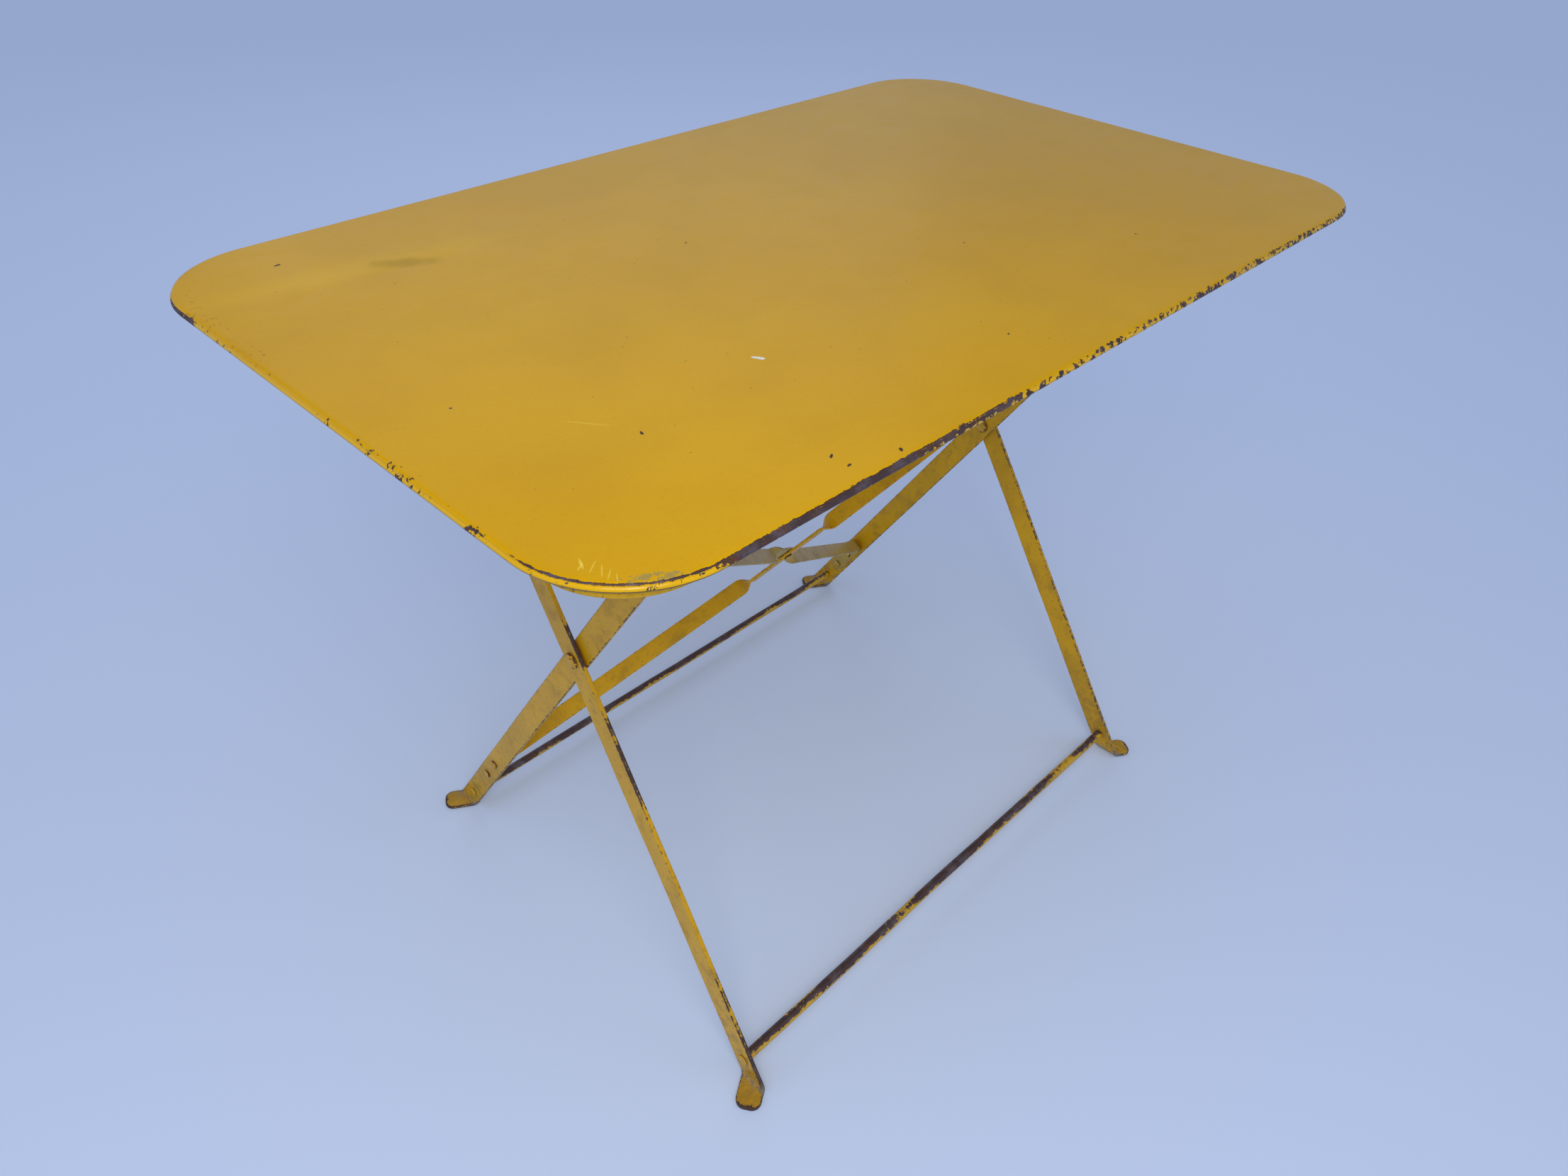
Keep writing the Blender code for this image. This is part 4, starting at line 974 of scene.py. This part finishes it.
def brace_path(brace):
    """Stations of the centre line: x, v, share of the quarter turn, lift off the plane."""
    lift = (BRACE_T / 2 + 0.0002) * brace.layer
    cross = np.array(BRACE_CROSS)
    low, high = (on_inner_leg(brace.low_side, brace.low),
                 on_inner_leg(-brace.low_side, brace.high))
    low_tab = on_inner_leg(brace.low_side, brace.low - BRACE_TAB)
    high_tab = on_inner_leg(-brace.low_side, brace.high + BRACE_TAB)
    run = unit(high - low)
    flat_low, flat_high = cross - run * brace.flat, cross + run * brace.flat
    twist_low, twist_high = cross - run * brace.twist, cross + run * brace.twist
    path = []

    def go(start, end, count, turn=(1, 1), lifts=(0, 0)):
        for i in range(count):
            t = i / count
            ease = t * t * (3 - 2 * t)
            p = start + (end - start) * t
            path.append((p[0], p[1], turn[0] + (turn[1] - turn[0]) * ease,
                         lifts[0] + (lifts[1] - lifts[0]) * ease))

    def fold(before, at, after, steps=14):
        start = at + unit(before - at) * BRACE_FOLD
        end = at + unit(after - at) * BRACE_FOLD
        for i in range(steps + 1):
            t = i / steps
            p = start * (1 - t) ** 2 + at * 2 * t * (1 - t) + end * t ** 2
            path.append((p[0], p[1], 1.0, 0.0))
        return end

    go(low_tab, low + unit(low_tab - low) * BRACE_FOLD, 12)
    leave = fold(low_tab, low, twist_low)
    go(leave, twist_low, 40)
    go(twist_low, flat_low, 22, turn=(1, 0), lifts=(0, lift))
    go(flat_low, flat_high, 16, turn=(0, 0), lifts=(lift, lift))
    go(flat_high, twist_high, 22, turn=(0, 1), lifts=(lift, 0))
    go(twist_high, high + unit(twist_high - high) * BRACE_FOLD, 40)
    leave = fold(twist_high, high, high_tab)
    go(leave, high_tab, 12)
    path.append((high_tab[0], high_tab[1], 1.0, 0.0))
    path = np.array(path)
    # drop the stations that repeat where two runs meet
    gaps = np.linalg.norm(np.diff(path[:, :2], axis=0), axis=1)
    return path[np.concatenate([[True], gaps > 1e-7])]


def build_brace(brace):
    path = brace_path(brace)
    centre = path[:, :2]
    steps = np.linalg.norm(np.diff(centre, axis=0), axis=1)
    arc = np.concatenate([[0], np.cumsum(steps)])
    total = arc[-1]
    tangent = np.gradient(centre, arc, axis=0)
    tangent /= np.linalg.norm(tangent, axis=1)[:, None]
    arc_cross = arc[int(np.linalg.norm(centre - np.array(BRACE_CROSS), axis=1).argmin())]
    half = BRACE_W / 2
    inner = arc[(arc > half * 1.02) & (arc < total - half * 1.02)]
    rows = end_rows(total, half, half, +1, steps=8)
    rows += [(a, half, 0.0, 1.0) for a in inner[::-1]]
    rows += reversed(end_rows(0.0, half, half, -1, steps=8))

    def bend(p):
        a, b, t = np.clip(p[..., 0], 0, total), p[..., 1], p[..., 2]
        px, pv, turn, lift = (np.interp(a, arc, values) for values in path.T)
        tx, tv = (np.interp(a, arc, values) for values in tangent.T)
        length = np.hypot(tx, tv)
        side_x, side_v = -tv / length, tx / length
        ends = smooth01((a - 0.075) / 0.05) * smooth01((total - 0.075 - a) / 0.05)
        middle = smooth01(np.abs(a - arc_cross) / 0.05)
        sag = brace.bow * ends * middle * np.where(a > arc_cross, 0.35, 1.0)
        c, s = np.cos(turn * math.pi / 2), np.sin(turn * math.pi / 2)
        qx = px + side_x * sag + side_x * c * b - side_x * s * t
        qv = pv + side_v * sag + side_v * c * b - side_v * s * t
        qn = lift + s * b + c * t
        out = (CROSS_POINT + qx[..., None] * np.array([1.0, 0, 0])
               + qv[..., None] * INNER_ALONG + qn[..., None] * INNER_NORMAL)
        folds = (np.exp(-((a - BRACE_TAB) / 0.007) ** 2)
                 + np.exp(-((total - BRACE_TAB - a) / 0.007) ** 2))
        return out, {"fold": 0.6 * folds}

    patches = bend_patches(flat_bar(rows, BRACE_T, arris=0.0006), bend)
    assemble(f"brace_bar_{brace.number}", patches, brace.paint, "inner_frame",
             f"brace_{brace.number}")


def build_brace_centre_rivet():
    axes = (Vector((1, 0, 0)), Vector(INNER_ALONG), Vector(INNER_NORMAL))
    frame_plane = Matrix.Translation(Vector(CROSS_POINT)) @ Matrix(axes).transposed().to_4x4()
    seat = BRACE_T + 0.0005
    rivet("brace_centre_rivet_head", "brace_centre_rivet",
          frame_plane @ Matrix.Translation((*BRACE_CROSS, 0.0)),
          shank_r=0.0027, top_seat=seat, low_seat=-seat, radius=0.0052, height=0.0026,
          material=RIVET_PAINTED, body="inner_frame", seed=2.0)


def build_brace_rivet(node, side, v):
    """A rivet through an inner leg and a brace tab."""
    along, across = map(Vector, leg_axes(side, -1))
    turned = Matrix((across.cross(along), across, along)).transposed().to_4x4()
    spot = Matrix.Translation((side * INNER_X, 0.0, CROSS_Z)) @ turned
    spot = spot @ Matrix.Translation((0, 0, v))
    if side < 0:
        spot = spot @ Matrix.Rotation(math.pi, 4, "Z")
    spot = spot @ Matrix.Rotation(math.pi / 2, 4, "Y")
    rivet(node + "_head", node, spot, shank_r=0.0022, top_seat=LEG_T / 2 + BRACE_GAP,
          low_seat=-(LEG_T / 2 + BRACE_GAP + BRACE_T + BRACE_GAP), radius=0.0052,
          height=0.0028, material=RIVET_PAINTED, body="inner_frame", seed=v * 30)


# ------------------------------------------------------------ crossing, hinge and underside
def build_crossing(side, tag):
    rivet("crossing_rivet_head_" + tag, "crossing_rivet_" + tag, along_x(0, CROSS_Z, side),
          shank_r=0.0040, top_seat=OUTER_X + LEG_T / 2 + RIVET_GAP,
          low_seat=INNER_X - LEG_T / 2 - RIVET_GAP, radius=0.0082, height=0.0042,
          material=RIVET_PAINTED, body="outer_frame", seed=0.7 + side, segments=36)
    # washer: radius, height from the middle of the gap between the legs
    washer = ((0.0043, 0.0006), (0.0083, 0.0006), (0.0085, 0.0004), (0.0085, -0.0004),
              (0.0083, -0.0006), (0.0043, -0.0006), (0.0043, 0.0006))
    mid = (OUTER_X + INNER_X) / 2
    lathe("crossing_washer_ring_" + tag, "crossing_washer_" + tag,
          [(r, mid + h) for r, h in washer], [0.0] * len(washer), along_x(0, CROSS_Z, side),
          RIVET_RUSTY, "outer_frame", segments=36)


def build_hinge_pin(side, tag):
    """The pin through the outer leg and the bracket's ear, with a collar between them."""
    pin_r, collar_r, ear_gap = 0.0040, 0.0062, 0.0004
    ear_in = 0.2985
    ear_out = ear_in + 0.0030
    leg_mid = leg_x(PIVOT_Z, OUTER_X)
    top_seat = leg_mid + LEG_T / 2 + RIVET_GAP
    leg_in = leg_mid - LEG_T / 2 - RIVET_GAP
    low_seat = ear_in - ear_gap
    shank = [(pin_r, top_seat), (pin_r, leg_in), (collar_r, leg_in),
             (collar_r, ear_out + ear_gap), (pin_r, ear_out + ear_gap), (pin_r, low_seat)]
    headed_pin("hinge_pin_turned_" + tag, "hinge_pin_" + tag, along_x(PIVOT_Y, PIVOT_Z, side),
               radius=0.0068, height=0.0030, top_seat=top_seat, low_seat=low_seat, shank=shank,
               material=RIVET_RUSTY, body="outer_frame", seed=0.4 + side, segments=30,
               hammered=0.02, shank_rim=0.8)


def refine(node, bevel):
    """The node's own shape with its edges rounded and its faces cleaned."""
    bm = bmesh.new()
    bm.from_mesh(NODES[node].data)
    bmesh.ops.remove_doubles(bm, verts=bm.verts, dist=1e-6)
    bmesh.ops.dissolve_limit(bm, angle_limit=math.radians(1.0), verts=bm.verts, edges=bm.edges)
    sharp = [e for e in bm.edges
             if len(e.link_faces) == 2 and e.calc_face_angle(0.0) > math.radians(40)]
    layer = bm.verts.layers.float.new("edge")
    made = bmesh.ops.bevel(bm, geom=sharp, offset=bevel, segments=2, profile=0.5,
                           affect="EDGES", clamp_overlap=True)
    for face in made["faces"]:
        for vert in face.verts:
            vert[layer] = 1.0
    bmesh.ops.dissolve_degenerate(bm, dist=4e-6, edges=bm.edges)
    bmesh.ops.triangulate(bm, faces=[f for f in bm.faces if len(f.verts) > 4])
    mesh = bpy.data.meshes.new("fine_" + node)
    bm.to_mesh(mesh)
    bm.free()
    add_piece("fine_" + node, mesh, UNDER_PAINT, "top", node)
    mesh.set_sharp_from_angle(angle=math.radians(38))


def build_underside(tag):
    for piece, bevel in (("batten_", 0.0006), ("hinge_bracket_", 0.0004),
                         ("rod_catch_", 0.0004)):
        refine(piece + tag, bevel)
    # each rivet with the Y that seeds its unevenness
    for name, y in (("hinge_rivet_a_", PIVOT_Y - 0.009), ("hinge_rivet_b_", PIVOT_Y + 0.009),
                    ("catch_rivet_", TOP_ROD_Y - 0.0200)):
        low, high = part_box(name + tag)
        at = Matrix.Translation(((low.x + high.x) / 2, (low.y + high.y) / 2, 0.0))
        head_h = 0.0020
        rivet(name + "head_" + tag, name + tag, at, shank_r=0.0022, top_seat=high.z - head_h,
              low_seat=low.z + head_h, radius=0.0042, height=head_h, material=RIVET_RUSTY,
              body="top", seed=y * 40)


# ------------------------------------------------------------ build it all
build_top()
build_hoop()
for side, tag in ((-1, "left"), (1, "right")):
    build_leg("outer", tag, side, end_z=PIVOT_Z, pad_side=side,
              material=LEFT_OUTER_LEG_PAINT if side < 0 else LEG_PAINT, seed=1.0 + side)
    build_leg("inner", tag, side, end_z=TOP_ROD_Z, pad_side=-1,
              material=LEG_PAINT, seed=4.0 + side)
    build_crossing(side, tag)
    build_hinge_pin(side, tag)
    build_underside(tag)

build_rod("outer", "foot", radius=0.0055, tenon=0.0035, z=ROD_Z,
          material=OUTER_FOOT_ROD_PAINT, seed=1.3)
build_rod("inner", "foot", radius=0.0048, tenon=0.0032, z=ROD_Z,
          material=INNER_FOOT_ROD_PAINT, seed=2.6)
build_rod("inner", "top", radius=0.0050, tenon=0.0032, z=TOP_ROD_Z,
          material=TOP_ROD_PAINT, seed=4.4)
for brace in BRACES:
    build_brace(brace)
build_brace_centre_rivet()
for brace in BRACES:
    for end, side, fold_v, way in (("low", brace.low_side, brace.low, -1),
                                   ("high", -brace.low_side, brace.high, +1)):
        for letter, distance in zip("ab", BRACE_RIVETS):
            build_brace_rivet(f"brace_{brace.number}_{end}_rivet_{letter}", side,
                              fold_v + way * distance)


# ------------------------------------------------------------ the stage
def build_floor():
    material = Material("pale_floor").finish((0.675, 0.79, 1.0), rough=0.90)
    bpy.ops.mesh.primitive_plane_add(size=40.0, location=(0, 0, 0))
    floor = bpy.context.object
    floor.name = "studio_floor"
    floor.data.materials.append(material)


def build_world():
    """A pale blue sky, darker at the horizon, with a plain backdrop for the camera."""
    world = bpy.data.worlds.new("studio")
    bpy.context.scene.world = world
    world.use_nodes = True
    sky = Graph(world.node_tree, coordinates="Generated")
    colour = sky.z.rise(0.05, 0.75).pick_colour((0.47, 0.55, 0.74), (0.53, 0.58, 0.74))
    colour = sky.z.rise(0.03, 0.16).pick_colour((0.36, 0.43, 0.63), colour)
    # a dim band toward +X +Y, which keeps the near end of the top clear of glare
    ahead = sky.x.scaled(0.73, plus=sky.y * 0.68)
    dim = ahead.rise(0.05, 0.50) * sky.z.rise(0.22, 0.50)
    dim = dim * sky.z.fall(0.74, 0.92)
    colour = colour.toward((0.10, 0.08, 0.05), by=dim * 0.90)
    camera_ray = Value(sky, sky.node("LightPath").outputs["Is Camera Ray"])
    colour = colour.toward((0.40, 0.47, 0.67), by=camera_ray)
    sky.fill(sky.tree.nodes["Background"], {"Color": colour, "Strength": 1.0})


def area(name, at, aim, size, power, colour):
    lamp = bpy.data.lights.new(name, "AREA")
    lamp.shape = "RECTANGLE"
    lamp.size, lamp.size_y = size
    lamp.energy = power
    lamp.color = colour
    light = bpy.data.objects.new(name, lamp)
    bpy.context.scene.collection.objects.link(light)
    light.location = at
    light.rotation_euler = (Vector(aim) - Vector(at)).to_track_quat("-Z", "Y").to_euler()


def build_camera():
    yaw, pitch, roll = 0.75233, 0.66725, -0.03871    # radians
    eye = Vector((-0.76883, -0.68332, 0.3902 + RISE))
    forward = Vector((math.cos(pitch) * math.cos(yaw), math.cos(pitch) * math.sin(yaw),
                      -math.sin(pitch)))
    level_right = Vector((math.sin(yaw), -math.cos(yaw), 0.0))
    level_down = forward.cross(level_right)
    right = level_right * math.cos(roll) + level_down * math.sin(roll)
    down = -level_right * math.sin(roll) + level_down * math.cos(roll)
    lens = bpy.data.cameras.new("camera")
    lens.sensor_fit = "HORIZONTAL"
    lens.sensor_width = 36.0
    lens.lens = 26.25640145
    lens.clip_start = 0.01
    camera = bpy.data.objects.new("camera", lens)
    bpy.context.scene.collection.objects.link(camera)
    turned = Matrix((right, -down, -forward)).transposed().to_4x4()
    camera.matrix_world = Matrix.Translation(eye) @ turned
    bpy.context.scene.camera = camera


build_floor()
build_world()
area("key", at=(-1.00, -0.98, 1.62), aim=(-0.40, -0.22, 0.70), size=(0.9, 0.9),
     power=9.8, colour=(1.0, 0.97, 0.90))
area("key_core", at=(-1.00, -0.98, 1.60), aim=(-0.40, -0.22, 0.70), size=(0.14, 0.14),
     power=1.6, colour=(1.0, 0.98, 0.94))
area("back", at=(1.4, 2.2, 2.4), aim=(0.1, 0.0, 0.7), size=(2.4, 1.6),
     power=7, colour=(0.88, 0.94, 1.0))
bpy.context.scene.view_settings.view_transform = "Standard"
build_camera()
